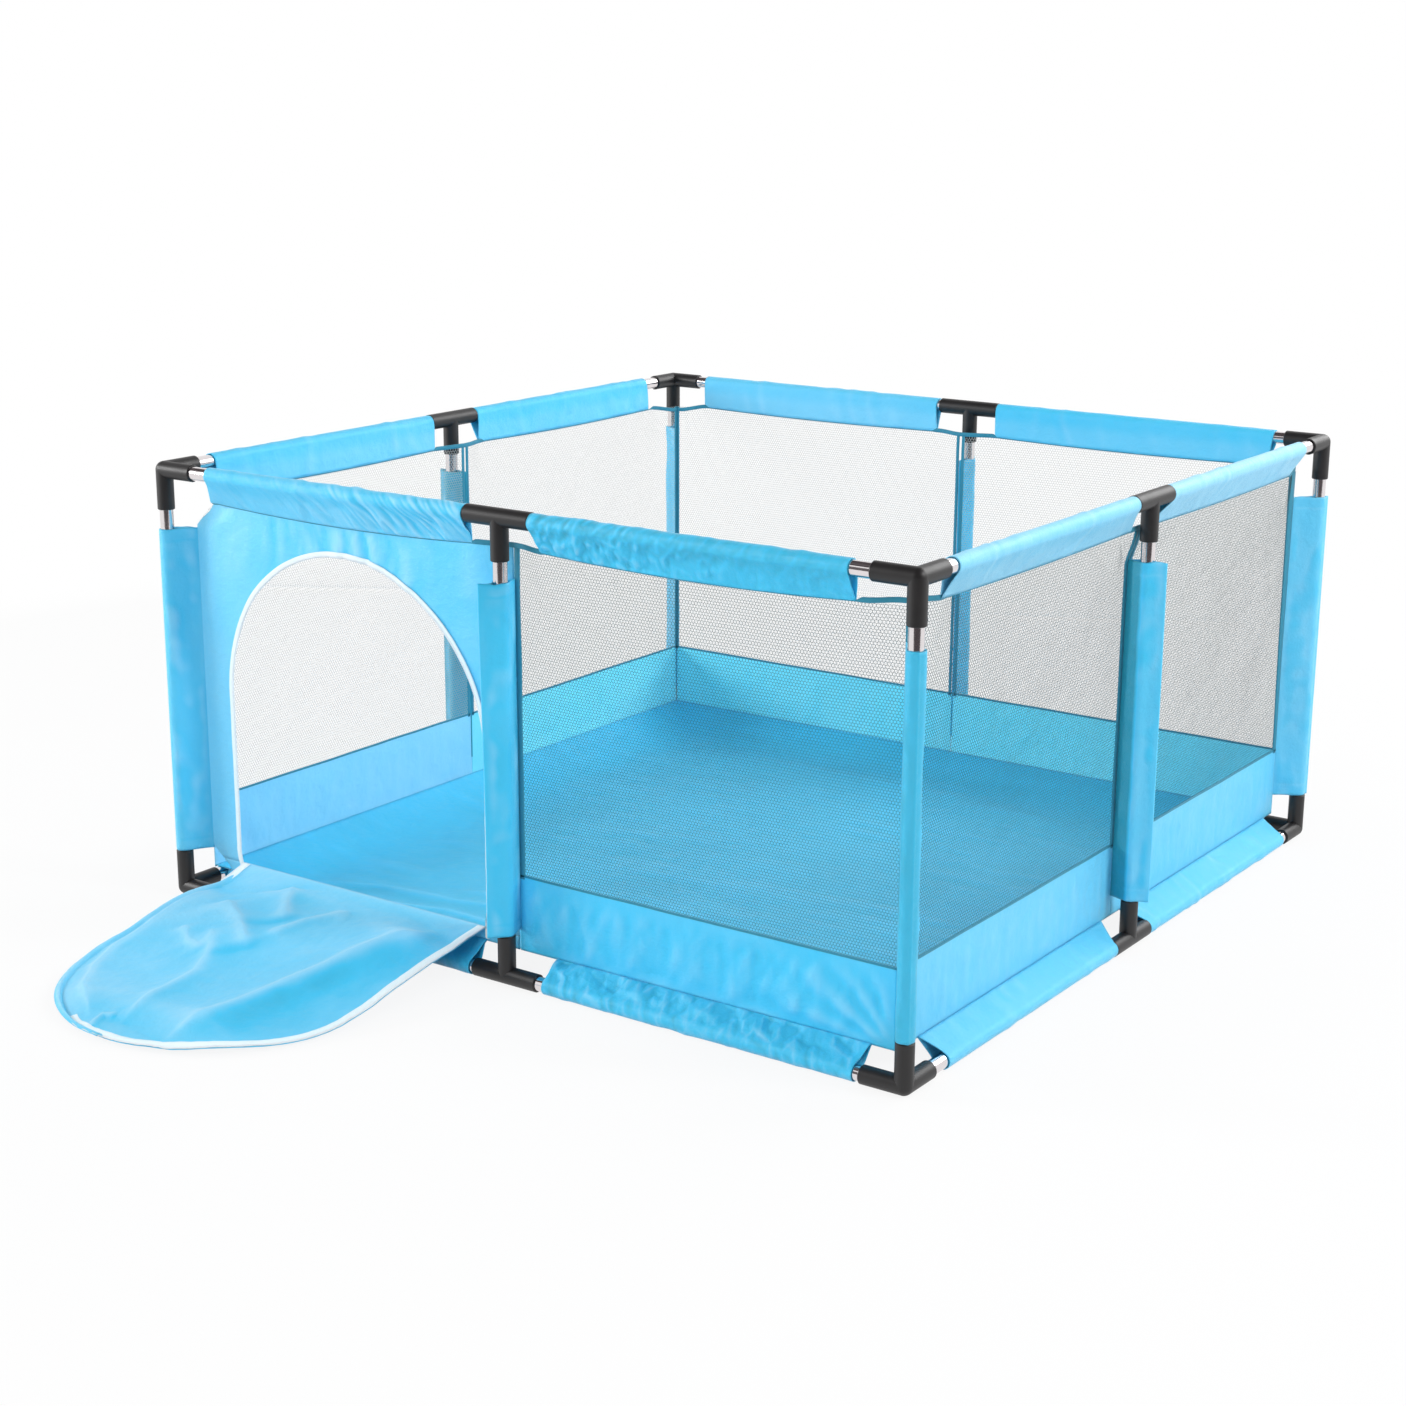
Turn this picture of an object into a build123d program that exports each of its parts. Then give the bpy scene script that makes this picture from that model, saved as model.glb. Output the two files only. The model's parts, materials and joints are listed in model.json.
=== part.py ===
from build123d import *
import math
import os

os.makedirs("parts", exist_ok=True)

# Driving dimensions, in millimetres
# The origin is the middle of the pen on the ground, and the door side faces -Y.
pen_side = 1280.0
pen_height = 660.0
connector_diameter = 25.0
tube_diameter = 20.0
tube_wall = 1.0
socket_clearance = 0.05
corner_arm = 60.0
tee_half_bar = 55.0
stem_length = 58.0
socket_stop = 15.0
mouth_chamfer = 1.0

# Cover: the walls hang inside the frame, on a plane set in from the rails.
wall_inset = 30.0
fabric = 1.2
net_thickness = 1.2
wall_bottom = 40.0
band_top = 148.0
net_top = 592.0
tape_width = 10.0
tape_thickness = 2.4
corner_tape = 3.0
seam_radius = 1.0
seam_gap = 0.3
sleeve_slack = 0.4

# Sleeve ends, measured along a side from the tee in its middle, and up the posts.
top_sleeve_start = 56.0
top_sleeve_end = 541.0
bottom_sleeve_start = 64.0
bottom_sleeve_end = 552.0
pocket_bottom = 71.5
pocket_top = 561.0

# Net form: one staggered pattern of six-sided gaps on each panel.
net_columns = 7
net_rows = 6
net_strand = 9.0
net_border = 12.0

# Floor sheet
floor_half = 525.0
floor_thickness = 2.0
floor_rim_gap = 0.5

# Arched door, in the left half of the front wall
arch_centre_x = -297.0
arch_spring = 315.0
arch_radius = 238.0
zip_gap = 1.5
zip_tape_width = 7.0
zip_tape_thickness = 1.6
hinge_height = 60.0
hinge_bead = 1.3
hinge_gap = 0.3
flap_lift = 0.2

# Zip slider and its pull
slider_bottom = 65.0
slider_length = 16.0
slider_plate = 1.0
slider_play = 0.35
slider_web = 1.7
crown_width = 2.4
crown_height = 3.6
crown_length = 9.0
pull_pin_radius = 0.8
pull_play = 0.3
pull_bar = 1.4
pull_thickness = 1.2
pull_width = 8.0
pull_length = 28.0
pull_tab_top = 5.0

# Values worked out from the driving dimensions
connector_radius = connector_diameter / 2
tube_radius = tube_diameter / 2
frame_half = (pen_side - connector_diameter) / 2
low_rail = connector_radius
top_rail = pen_height - connector_radius
wall_half = frame_half - wall_inset
net_end = wall_half - corner_tape / 2
net_start = tape_width / 2
sleeve_radius = tube_radius + sleeve_slack + fabric
seam_half = wall_half + tape_thickness / 2 + seam_gap + seam_radius

side_names = ["front", "right", "back", "left"]


def save(shape, name):
    export_step(shape, f"parts/{name}.step")


def turned(shape, quarter):
    return Rot(0, 0, 90 * quarter) * shape


def half_names(quarter):
    side = side_names[quarter]
    return f"{side}_{side_names[(quarter + 1) % 4]}", f"{side}_{side_names[quarter - 1]}"


def along(direction, radius, start, end):
    axis = Plane(origin=(0, 0, 0), z_dir=direction)
    foot = (Align.CENTER, Align.CENTER, Align.MIN)
    return axis * Pos(0, 0, start) * Cylinder(radius, end - start, align=foot)


# Moulded connectors: solid at the knuckle, with a blind socket in each arm
def arm(direction, length):
    axis = Plane(origin=(0, 0, 0), z_dir=direction)
    inner = connector_radius - mouth_chamfer
    outline = Polyline(
        (0, 0),
        (connector_radius, 0),
        (connector_radius, length - mouth_chamfer),
        (inner, length),
        (0, length),
        close=True,
    )
    return axis * revolve(Plane.XZ * make_face(outline), Axis.Z)


def connector(arms):
    body = Sphere(connector_radius)
    for direction, length in arms:
        body += arm(direction, length)
    for direction, length in arms:
        body -= along(direction, tube_radius + socket_clearance, socket_stop, length + 1)
    return body


def tube(direction, start, end):
    outer = along(direction, tube_radius, start, end)
    return outer - along(direction, tube_radius - tube_wall, start - 1, end + 1)


def build_frame():
    for level, height, stem in (("top", top_rail, (0, 0, -1)), ("bottom", low_rail, (0, 0, 1))):
        corner = connector([((-1, 0, 0), corner_arm), ((0, 1, 0), corner_arm), (stem, stem_length)])
        tee = connector([((1, 0, 0), tee_half_bar), ((-1, 0, 0), tee_half_bar), (stem, stem_length)])
        for quarter, side in enumerate(side_names):
            ahead, behind = half_names(quarter)
            save(turned(Pos(frame_half, -frame_half, height) * corner, quarter), f"{level}_corner_{ahead}")
            save(turned(Pos(0, -frame_half, height) * tee, quarter), f"{level}_tee_{side}")
            for name, direction in ((ahead, (1, 0, 0)), (behind, (-1, 0, 0))):
                rail = tube(direction, socket_stop, frame_half - socket_stop)
                save(turned(Pos(0, -frame_half, height) * rail, quarter), f"{level}_rail_{name}")
    post = tube((0, 0, 1), low_rail + socket_stop, top_rail - socket_stop)
    for quarter, side in enumerate(side_names):
        corner_post = Pos(frame_half, -frame_half, 0) * post
        save(turned(corner_post, quarter), f"corner_post_{half_names(quarter)[0]}")
        save(turned(Pos(0, -frame_half, 0) * post, quarter), f"mid_post_{side}")


# Sleeves: cloth round a tube, both layers running in to one seam
def loop_profile(tube_centre, seam):
    def hull(first, first_radius, second, second_radius):
        rings = (Pos(*first) * Circle(first_radius)).edges() + (Pos(*second) * Circle(second_radius)).edges()
        return make_hull(rings)

    share = 0.8
    inner_end = [a + share * (b - a) for a, b in zip(tube_centre, seam)]
    inner_radius = sleeve_radius + share * (seam_radius - sleeve_radius) - fabric
    outer = hull(tube_centre, sleeve_radius, seam, seam_radius)
    return outer - hull(tube_centre, sleeve_radius - fabric, inner_end, inner_radius)


def rail_sleeves(rail_height, seam_height, start, end):
    profile = Plane.YZ * loop_profile((-frame_half, rail_height), (-seam_half, seam_height))
    sleeve = extrude(profile, end - start)
    halves = [Pos(start, 0, 0) * sleeve, Pos(-end, 0, 0) * sleeve]
    return Compound([turned(half, quarter) for quarter in range(4) for half in halves])


def post_pockets():
    height = pocket_top - pocket_bottom
    middle = extrude(loop_profile((0, -frame_half), (0, -seam_half)), height)
    corner = extrude(loop_profile((frame_half, -frame_half), (seam_half, -seam_half)), height)
    pair = [Pos(0, 0, pocket_bottom) * pocket for pocket in (middle, corner)]
    return Compound([turned(pocket, quarter) for quarter in range(4) for pocket in pair])


# Walls: boxes and holed faces on the wall plane
def wall_box(start, end, bottom, top, thickness):
    middle = ((start + end) / 2, -wall_half, (bottom + top) / 2)
    return Pos(*middle) * Box(end - start, thickness, top - bottom)


def net_panel():
    width = net_end - net_start
    height = net_top - band_top
    opening = Rectangle(width - 2 * net_border, height - 2 * net_border)
    pitch = width / net_columns
    gap = RegularPolygon((pitch - net_strand) / 2, 6, major_radius=False, rotation=30)
    row_pitch = pitch * math.sqrt(3) / 2
    gaps = []
    for row in range(net_rows):
        stagger = 0.25 if row % 2 else -0.25
        across = (row - (net_rows - 1) / 2) * row_pitch
        for column in range(net_columns):
            place = (column - (net_columns - 1) / 2 + stagger) * pitch
            gaps.append(Pos(place, across) * gap)
    face = Rectangle(width, height) - [opening & one for one in gaps]
    middle = (net_start + width / 2, -wall_half, band_top + height / 2)
    wall = Plane(middle, x_dir=(1, 0, 0), z_dir=(0, -1, 0))
    return extrude(wall * face, net_thickness / 2, both=True)


def build_walls():
    net = net_panel()
    width = net_end + net_start
    for quarter, side in enumerate(side_names):
        ahead, behind = half_names(quarter)
        save(turned(net, quarter), f"net_{ahead}")
        if side != "front":
            save(turned(Pos(-width, 0, 0) * net, quarter), f"net_{behind}")
    band = wall_box(net_start, net_end, wall_bottom, band_top, fabric)
    bands = [turned(band, quarter) for quarter in range(4)]
    bands += [turned(Pos(-width, 0, 0) * band, quarter) for quarter in range(1, 4)]
    save(Compound(bands), "wall_band")
    tapes = []
    tape_top = net_top + tape_width
    for quarter in range(4):
        tapes.append(turned(wall_box(-net_end, net_end, net_top, tape_top, tape_thickness), quarter))
        tapes.append(turned(wall_box(-net_start, net_start, wall_bottom, net_top, tape_thickness), quarter))
        edge = wall_box(net_end, net_end + corner_tape, wall_bottom, tape_top, corner_tape)
        tapes.append(turned(edge, quarter))
    save(Compound(tapes), "edge_binding")


def build_floor():
    save(Pos(0, 0, floor_thickness / 2) * Box(2 * floor_half, 2 * floor_half, floor_thickness), "floor_mat")
    edge = wall_half - fabric / 2 - floor_rim_gap
    outline = Polyline(
        (-floor_half, 0),
        (-floor_half, floor_thickness),
        (-edge, wall_bottom),
        (-edge, wall_bottom - floor_thickness),
        close=True,
    )
    strip = Pos(-edge, 0, 0) * extrude(Plane.YZ * make_face(outline), 2 * edge)
    wedge = make_face(Polyline((0, 0), (-pen_side, -pen_side), (pen_side, -pen_side), close=True))
    strip = strip & extrude(wedge, wall_bottom)
    save(Compound([turned(strip, quarter) for quarter in range(4)]), "floor_rim")


# Door: everything is drawn closed, in the wall plane, and the flap is then laid down about its hinge line
def arch_face(radius, foot):
    legs = Pos(0, (arch_spring + foot) / 2) * Rectangle(2 * radius, arch_spring - foot)
    return Pos(arch_centre_x, 0) * (legs + Pos(0, arch_spring) * Circle(radius))


def in_wall(face, thickness):
    wall = Plane((0, -wall_half, 0), x_dir=(1, 0, 0), z_dir=(0, -1, 0))
    return extrude(wall * face, thickness / 2, both=True)


def build_door():
    panel_edge = arch_radius + zip_gap + zip_tape_width
    flap_edge = arch_radius - zip_gap
    sill = hinge_height - hinge_bead / 2
    flap_foot = hinge_height + hinge_bead + hinge_gap

    panel = wall_box(-net_end, -net_start, wall_bottom, net_top, fabric)
    panel -= in_wall(arch_face(panel_edge, sill), 2 * fabric)
    bead_half = flap_edge - zip_tape_width
    bead = Pos(arch_centre_x, -wall_half, hinge_height) * along((1, 0, 0), hinge_bead, -bead_half, bead_half)
    save(panel + bead, "door_panel")
    ring = arch_face(panel_edge, sill) - arch_face(arch_radius + zip_gap, sill)
    save(in_wall(ring, zip_tape_thickness), "zip_panel_tape")

    reach = arch_spring + flap_edge - hinge_height
    drop = hinge_height - zip_tape_thickness / 2 - flap_lift
    tilt = math.degrees(math.asin(drop / reach))
    print(f"door closes through {90 + tilt:.2f} degrees")
    hinge = Pos(0, -wall_half, hinge_height)
    lay_down = hinge * Rot(90 + tilt, 0, 0) * hinge.inverse()
    cloth = arch_face(flap_edge - zip_tape_width, flap_foot)
    save(lay_down * in_wall(cloth, fabric), "door_flap")
    save(lay_down * in_wall(arch_face(flap_edge, flap_foot) - cloth, zip_tape_thickness), "zip_flap_tape")


def build_zip():
    edge = arch_centre_x + arch_radius
    tape_face = zip_tape_thickness / 2 + slider_play
    plate_width = zip_gap + zip_tape_width
    web_left = edge - slider_web / 2
    outer = 2 * (tape_face + slider_plate)
    middle = slider_bottom + slider_length / 2
    body = Pos(web_left + plate_width / 2, -wall_half, middle) * Box(plate_width, outer, slider_length)
    body = fillet(body.edges().filter_by(Axis.Y), 1.0)
    channel = Box(plate_width, 2 * tape_face, slider_length + 2)
    body -= Pos(web_left + slider_web + plate_width / 2, -wall_half, middle) * channel

    pivot_x = web_left + plate_width / 2
    pivot_y = -wall_half - outer / 2 - crown_height / 2
    crown = Pos(pivot_x, pivot_y, middle) * Box(crown_width, crown_height, crown_length)
    crown = fillet(crown.edges().filter_by(Axis.X).group_by(Axis.Y)[0], crown_height / 3)
    pivot = Pos(pivot_x, pivot_y, middle)
    hole = pivot * along((1, 0, 0), pull_pin_radius + pull_play, -crown_width, crown_width)
    save(body + crown - hole, "zip_slider")

    bar_inside = crown_width / 2 + pull_play
    bar_outside = bar_inside + pull_bar
    pin = along((1, 0, 0), pull_pin_radius, -bar_outside, bar_outside)
    outline = Pos(0, -pull_length / 2) * RectangleRounded(pull_width, pull_length, pull_width / 3)
    neck = Pos(0, 0) * Rectangle(2 * bar_outside, 2 * pull_tab_top)
    window = Rectangle(2 * bar_inside, 2 * pull_tab_top)
    tab = extrude(Plane.XZ * (outline + neck - window), pull_thickness / 2, both=True)
    trim = Pos(0, 0, pull_tab_top / 2 + pull_pin_radius) * Box(pull_width, pull_width, pull_tab_top)
    save(pivot * (tab - trim + pin), "zip_pull")
    print(f"pull pivot {pivot_x:.2f}, {pivot_y:.2f}, {middle:.2f}")


build_frame()
build_walls()
build_floor()
top_seam = net_top + tape_width - seam_radius
bottom_seam = wall_bottom - seam_radius
save(rail_sleeves(top_rail, top_seam, top_sleeve_start, top_sleeve_end), "top_sleeves")
save(rail_sleeves(low_rail, bottom_seam, bottom_sleeve_start, bottom_sleeve_end), "bottom_sleeves")
save(post_pockets(), "post_pockets")
build_door()
build_zip()
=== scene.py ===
import json
import math
import random

import bpy
import numpy as np
from mathutils import Matrix, Vector, noise


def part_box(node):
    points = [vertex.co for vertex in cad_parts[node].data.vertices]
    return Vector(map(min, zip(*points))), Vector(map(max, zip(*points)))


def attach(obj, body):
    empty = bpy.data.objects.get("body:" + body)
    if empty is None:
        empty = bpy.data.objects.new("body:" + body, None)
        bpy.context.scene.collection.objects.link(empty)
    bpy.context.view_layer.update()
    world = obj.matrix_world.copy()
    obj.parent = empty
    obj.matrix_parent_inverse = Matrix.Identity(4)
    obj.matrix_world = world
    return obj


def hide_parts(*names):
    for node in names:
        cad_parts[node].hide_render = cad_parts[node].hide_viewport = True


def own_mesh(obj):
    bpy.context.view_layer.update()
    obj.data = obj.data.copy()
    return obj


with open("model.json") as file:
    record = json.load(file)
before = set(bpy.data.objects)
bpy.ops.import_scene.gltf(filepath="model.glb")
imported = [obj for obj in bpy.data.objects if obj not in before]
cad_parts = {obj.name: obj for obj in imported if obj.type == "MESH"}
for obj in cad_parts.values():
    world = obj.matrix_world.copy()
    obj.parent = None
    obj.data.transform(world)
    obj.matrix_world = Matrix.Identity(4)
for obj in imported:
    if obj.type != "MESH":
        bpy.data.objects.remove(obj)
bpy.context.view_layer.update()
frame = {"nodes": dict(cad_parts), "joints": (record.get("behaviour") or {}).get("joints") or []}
sides = ["front", "right", "back", "left"]
print("frame loaded, %d nodes" % len(frame["nodes"]))


# Places read from the frame
def middle(node, axis):
    low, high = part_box(node)
    return (low[axis] + high[axis]) / 2


railOut = -middle("top_rail_front_right", 1)
railTop = middle("top_rail_front_right", 2)
railLow = middle("bottom_rail_front_right", 2)
wallOut = -middle("net_front_right", 1)
(netStart, _, bandTop), (netEnd, _, netTop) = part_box("net_front_right")
(postLeft, _, _), (postRight, _, _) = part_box("mid_post_front")
tubeRadius = (postRight - postLeft) / 2
pocketLow, pocketTop = (end[2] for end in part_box("post_pockets"))
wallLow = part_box("wall_band")[0][2]
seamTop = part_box("edge_binding")[1][2] + 0.003
seamOut = railOut - 0.0165  # the walls lean out at the top, to the seam of the sleeves
doorJoint = [j for j in frame["joints"] if j["name"] == "door_hinge"][0]
hingeY, hingeZ = doorJoint["pos_m"][1], doorJoint["pos_m"][2]


# Mesh helpers. A cloth piece is a grid of points with a little thickness and a rim.
def turned(points, quarter):
    angle = math.radians(90 * quarter)
    c, s = math.cos(angle), math.sin(angle)
    turn = np.array([[c, -s, 0], [s, c, 0], [0, 0, 1]])
    return np.asarray(points, float) @ turn.T


def mirrored(points):
    return np.asarray(points, float)[::-1] * np.array([-1.0, 1.0, 1.0])


def gridNormals(points):
    du = np.gradient(points, axis=0)
    dv = np.gradient(points, axis=1)
    n = np.cross(du, dv)
    return n / np.maximum(np.linalg.norm(n, axis=2, keepdims=True), 1e-9)


def unit(vectors):
    return vectors / np.linalg.norm(vectors, axis=1, keepdims=True)


def stepLengths(line):
    return np.linalg.norm(np.diff(line, axis=0), axis=1)


def wayAlong(line):
    # length of the way from the first point of a line to each of its points
    return np.concatenate([[0], np.cumsum(stepLengths(line))])


def makeObject(name, verts, faces, uvs, material, tone=None):
    mesh = bpy.data.meshes.new(name)
    mesh.from_pydata([tuple(v) for v in verts], [], faces)
    if tone is not None:  # how pale the cloth is at each point, from -1 to 1, painted light and shade included
        mesh.attributes.new("clothTone", "FLOAT", "POINT").data.foreach_set("value", np.asarray(tone, np.float32))
    layer = mesh.uv_layers.new(name="clothUv")
    loops = np.zeros(len(mesh.loops), np.int32)
    mesh.loops.foreach_get("vertex_index", loops)
    layer.data.foreach_set("uv", np.asarray(uvs, np.float32)[loops].ravel())
    mesh.polygons.foreach_set("use_smooth", np.ones(len(mesh.polygons), bool))
    mesh.validate()
    mesh.update()
    piece = bpy.data.objects.new(name, mesh)
    bpy.context.scene.collection.objects.link(piece)
    mesh.materials.append(material)
    return piece


def gridUv(points):
    du = np.linalg.norm(np.diff(points, axis=0), axis=2).mean(axis=1)
    dv = np.linalg.norm(np.diff(points, axis=1), axis=2).mean(axis=0)
    u = np.concatenate([[0], np.cumsum(du)])
    v = np.concatenate([[0], np.cumsum(dv)])
    return np.stack(np.meshgrid(u, v, indexing="ij"), axis=2)


def clothMesh(points, thickness):
    nu, nv, _ = points.shape
    normals = gridNormals(points)
    upper = points + normals * thickness / 2
    lower = points - normals * thickness / 2
    verts = np.concatenate([upper.reshape(-1, 3), lower.reshape(-1, 3)])
    index = np.arange(nu * nv).reshape(nu, nv)
    shift = nu * nv
    quads = np.stack([index[:-1, :-1], index[1:, :-1], index[1:, 1:], index[:-1, 1:]], axis=2).reshape(-1, 4)
    faces = [tuple(q) for q in quads.tolist()]
    faces += [(d + shift, c + shift, b + shift, a + shift) for a, b, c, d in quads.tolist()]
    rim = np.concatenate([index[:, 0], index[-1, 1:], index[-2::-1, -1], index[0, -2:0:-1]]).tolist()
    for a, b in zip(rim, rim[1:] + rim[:1]):
        faces.append((b, a, a + shift, b + shift))
    uv = gridUv(points).reshape(-1, 2)
    return verts, faces, np.concatenate([uv, uv])


clothThick = 0.0011


def clothPiece(name, points, material, thickness=clothThick, tone=0.0, inside=0.0):
    tone = np.broadcast_to(np.asarray(tone, float), points.shape[:2]).ravel()
    return makeObject(name, *clothMesh(points, thickness), material, np.concatenate([tone, tone + inside]))


def joined(parts):
    verts, faces, uvs, count = [], [], [], 0
    for v, f, t in parts:
        verts.append(v)
        faces += [tuple(i + count for i in face) for face in f]
        uvs.append(t)
        count += len(v)
    return np.concatenate(verts), faces, np.concatenate(uvs)


def stripMesh(path, side, up, width, thickness, rounded=0.3):
    # a flat tape: the path runs along its middle, side points across it and up is its face
    path, side, up = (np.asarray(a, float) for a in (path, side, up))
    n = len(path)
    w, t = (np.broadcast_to(np.asarray(a, float) / 2, n)[:, None] for a in (width, thickness))
    c = np.minimum(w, t) * rounded
    ring = [(-w, c - t), (c - w, -t), (w - c, -t), (w, c - t), (w, t - c), (w - c, t), (c - w, t), (-w, t - c)]
    m = len(ring)
    verts = np.stack([path + side * a + up * b for a, b in ring], axis=1).reshape(-1, 3)
    faces = []
    for i in range(n - 1):
        for j in range(m):
            k = (j + 1) % m
            faces.append((i * m + j, i * m + k, (i + 1) * m + k, (i + 1) * m + j))
    faces.append(tuple(range(m - 1, -1, -1)))
    faces.append(tuple((n - 1) * m + j for j in range(m)))
    around = np.concatenate([a + w for a, b in ring], axis=1)
    uv = np.stack([np.repeat(wayAlong(path)[:, None], m, axis=1), around], axis=2).reshape(-1, 2)
    return verts, faces, uv


def smooth(x):
    x = np.clip(x, 0, 1)
    return x * x * (3 - 2 * x)


def blurred(field, passes):
    for _ in range(passes):
        for axis in (0, 1):
            before = np.take(field, np.r_[0, np.arange(field.shape[axis] - 1)], axis=axis)
            after = np.take(field, np.r_[np.arange(1, field.shape[axis]), field.shape[axis] - 1], axis=axis)
            field = (before + 2 * field + after) / 4
    return field


def paintedFoldShading(push, height, passes=16):
    # painted light on the folds: the crests are painted pale as a highlight, and the hollows between them painted
    # deep as shade
    tone = np.clip((push - blurred(push, passes)) / height, -1, 1)
    return np.where(tone > 0, tone, 0.6 * tone)


def cloud(points, scale, seed, octaves=2):
    # soft seeded noise at each point, from about -1 to 1
    shape = points.shape[:-1]
    offset = Vector((seed * 7.31, seed * 3.17, seed * 1.93))
    flat = points.reshape(-1, 3) * scale
    value = [noise.fractal(Vector(p) + offset, 0.6, 2.0, octaves) for p in flat.tolist()]
    return np.array(value).reshape(shape)


def facets(x, y, seed):
    # flat three-sided facets of random height with sharp edges between them, as on crumpled cloth, from 0 to 1
    lean = (x + y) * 0.366
    i, j = np.floor(x + lean), np.floor(y + lean)
    fx, fy = x + lean - i, y + lean - j
    across = fx >= fy

    def height(a, b):
        value = np.sin(a * 127.1 + b * 311.7 + seed * 74.7) * 43758.5453
        return value - np.floor(value)

    middle = height(i + across, j + ~across)
    small, large = np.minimum(fx, fy), np.maximum(fx, fy)
    return height(i, j) * (1 - large) + middle * (large - small) + height(i + 1, j + 1) * small


def crumple(x, y, cell, seed, stretch=1.0, slant=0.0):
    # two sizes of facet, drawn out along y by the stretch and leaning by the slant
    bendX = 0.35 * cell * np.sin(y / cell * 0.9 + seed)
    a, b = (x - slant * y + bendX) / cell, y / (cell * stretch)
    return facets(a, b, seed) * 0.7 + facets(2.3 * a + 5.1, 2.3 * b + 2.7, seed + 3) * 0.3 - 0.5


def nearLine(x, y, line):
    # distance to a bent line, how far along it the nearest place is from 0 to 1, and the side it lies on
    best = np.full(x.shape, 9.0)
    place, turn = np.zeros(x.shape), np.zeros(x.shape)
    lengths = [math.dist(a, b) for a, b in zip(line, line[1:])]
    done, total = 0.0, sum(lengths)
    for (ax, ay), (bx, by), length in zip(line, line[1:], lengths):
        t = np.clip(((x - ax) * (bx - ax) + (y - ay) * (by - ay)) / length**2, 0, 1)
        d = np.hypot(x - ax - t * (bx - ax), y - ay - t * (by - ay))
        closer = d < best
        best = np.where(closer, d, best)
        place = np.where(closer, (done + t * length) / total, place)
        turn = np.where(closer, (bx - ax) * (y - ay) - (by - ay) * (x - ax), turn)
        done += length
    return best, place, turn


def creaseField(along, down, creases):
    # sum of creases: each starts at a place along the edge, slants, fades with depth and has a sharp crest
    total, fade = np.zeros_like(along), creaseSettings["fade"]
    for c in creases:
        line = c["at"] + c["slant"] * down + c["bend"] * np.sin(down * c["turn"])
        across = (along - line) / c["width"]
        crest = np.exp(-np.abs(across) ** 1.3) - 0.5 * np.exp(-((across - 1.6 * c["lean"]) ** 2))
        inside = smooth((down - c["from"]) / fade + 1) * (1 - smooth((down - c["to"]) / fade))
        total += c["height"] * crest * inside
    return total


creaseSettings = {  # slack folds on a sleeve, lower further along it
    "count": 8,
    "span": (0.07, 0.52),
    "reach": 0.04,
    "width": 0.011,
    "height": 0.0012,
    "slant": (0.1, 0.6),
    "fall": 0.2,
    "fade": 0.02,
}


def makeCreases(seed):
    s = creaseSettings
    draw = random.Random(seed)
    creases = []
    for _ in range(s["count"]):
        share = draw.random()
        first = draw.uniform(-0.1, 0.45) * s["reach"]
        creases.append(
            {
                "at": s["span"][0] + share * (s["span"][1] - s["span"][0]),
                "slant": draw.uniform(*s["slant"]) * draw.choice((-1, 1)),
                "bend": draw.uniform(0.0005, 0.003),
                "turn": draw.uniform(60, 150),
                "width": s["width"] * draw.uniform(0.6, 1.5),
                "height": s["height"] * (1 - s["fall"] * share) * draw.uniform(0.5, 1.2),
                "lean": draw.choice((-1, 1)),
                "from": first,
                "to": first + draw.uniform(0.35, 0.8) * s["reach"],
            }
        )
    return creases


wallSettings = {
    "leanFrom": 0.24,  # height where the walls start to lean out
    "leanPost": 0.16,  # they stay upright this near to a post
    "nearRise": 0.10,
    "nearPost": 0.06,
    "teeRise": 0.045,
    "sagFrom": 0.05,  # the sleeves' seam hangs between these places along the rail
    "sagLength": 0.49,
    "sag": {"front": 0.0075, "right": 0.0025, "back": 0.0035, "left": 0.0035},
}


def wallReach(u, z, side="front"):
    # how far out the cover hangs: upright at the posts, and leaning out to the sleeve seam between them
    s = wallSettings

    def risen(below):
        return smooth((z - (netTop - below)) / (seamTop - netTop + below))

    post = np.minimum(np.abs(u), np.abs(wallOut - np.abs(u)))
    lean = smooth((z - s["leanFrom"]) / (seamTop - s["leanFrom"])) * smooth(post / s["leanPost"]) ** 0.5
    near = risen(s["nearRise"]) * smooth(post / s["nearPost"])
    if side == "right":  # the sleeves of this side meet at the tee and take the wall with them
        near = np.maximum(near, risen(s["teeRise"]) * (np.abs(u) < 0.2))
    return wallOut + (seamOut - wallOut) * np.maximum(lean, near)


def seamSag(u, side):
    # how far the seam of a top sleeve hangs below its ends
    t = np.clip((np.abs(u) - wallSettings["sagFrom"]) / wallSettings["sagLength"], 0, 1)
    return wallSettings["sag"][side] * 4 * t * (1 - t)


# Shader groups shared by the cloth, tape and plastic
floatKind, colourKind, vectorKind = "NodeSocketFloat", "NodeSocketColor", "NodeSocketVector"


def newGroup(name, inputs, outputs):
    group = bpy.data.node_groups.new(name, "ShaderNodeTree")
    for label, kind, value in inputs:
        socket = group.interface.new_socket(name=label, in_out="INPUT", socket_type=kind)
        if value is not None:
            socket.default_value = value
    for label, kind in outputs:
        group.interface.new_socket(name=label, in_out="OUTPUT", socket_type=kind)
    return group, group.nodes.new("NodeGroupInput").outputs, group.nodes.new("NodeGroupOutput").inputs


def plug(tree, sockets, values):
    # by name or number of the input: another socket is linked to it, a plain value is set on it
    for key, value in values.items():
        if isinstance(value, bpy.types.NodeSocket):
            tree.links.new(value, sockets[key])
        elif value is not None:
            sockets[key].default_value = value


def addNode(tree, kind, values, **options):
    node = tree.nodes.new(kind)
    for option, value in options.items():
        setattr(node, option, value)
    plug(tree, node.inputs, values)
    return node.outputs


def mathNode(tree, operation, *values):
    return addNode(tree, "ShaderNodeMath", dict(enumerate(values)), operation=operation)[0]


def noiseNode(tree, vector, scale, detail, roughness=0.55):
    values = {"Vector": vector, "Scale": scale, "Detail": detail, "Roughness": roughness}
    return addNode(tree, "ShaderNodeTexNoise", values)["Fac"]


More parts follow.
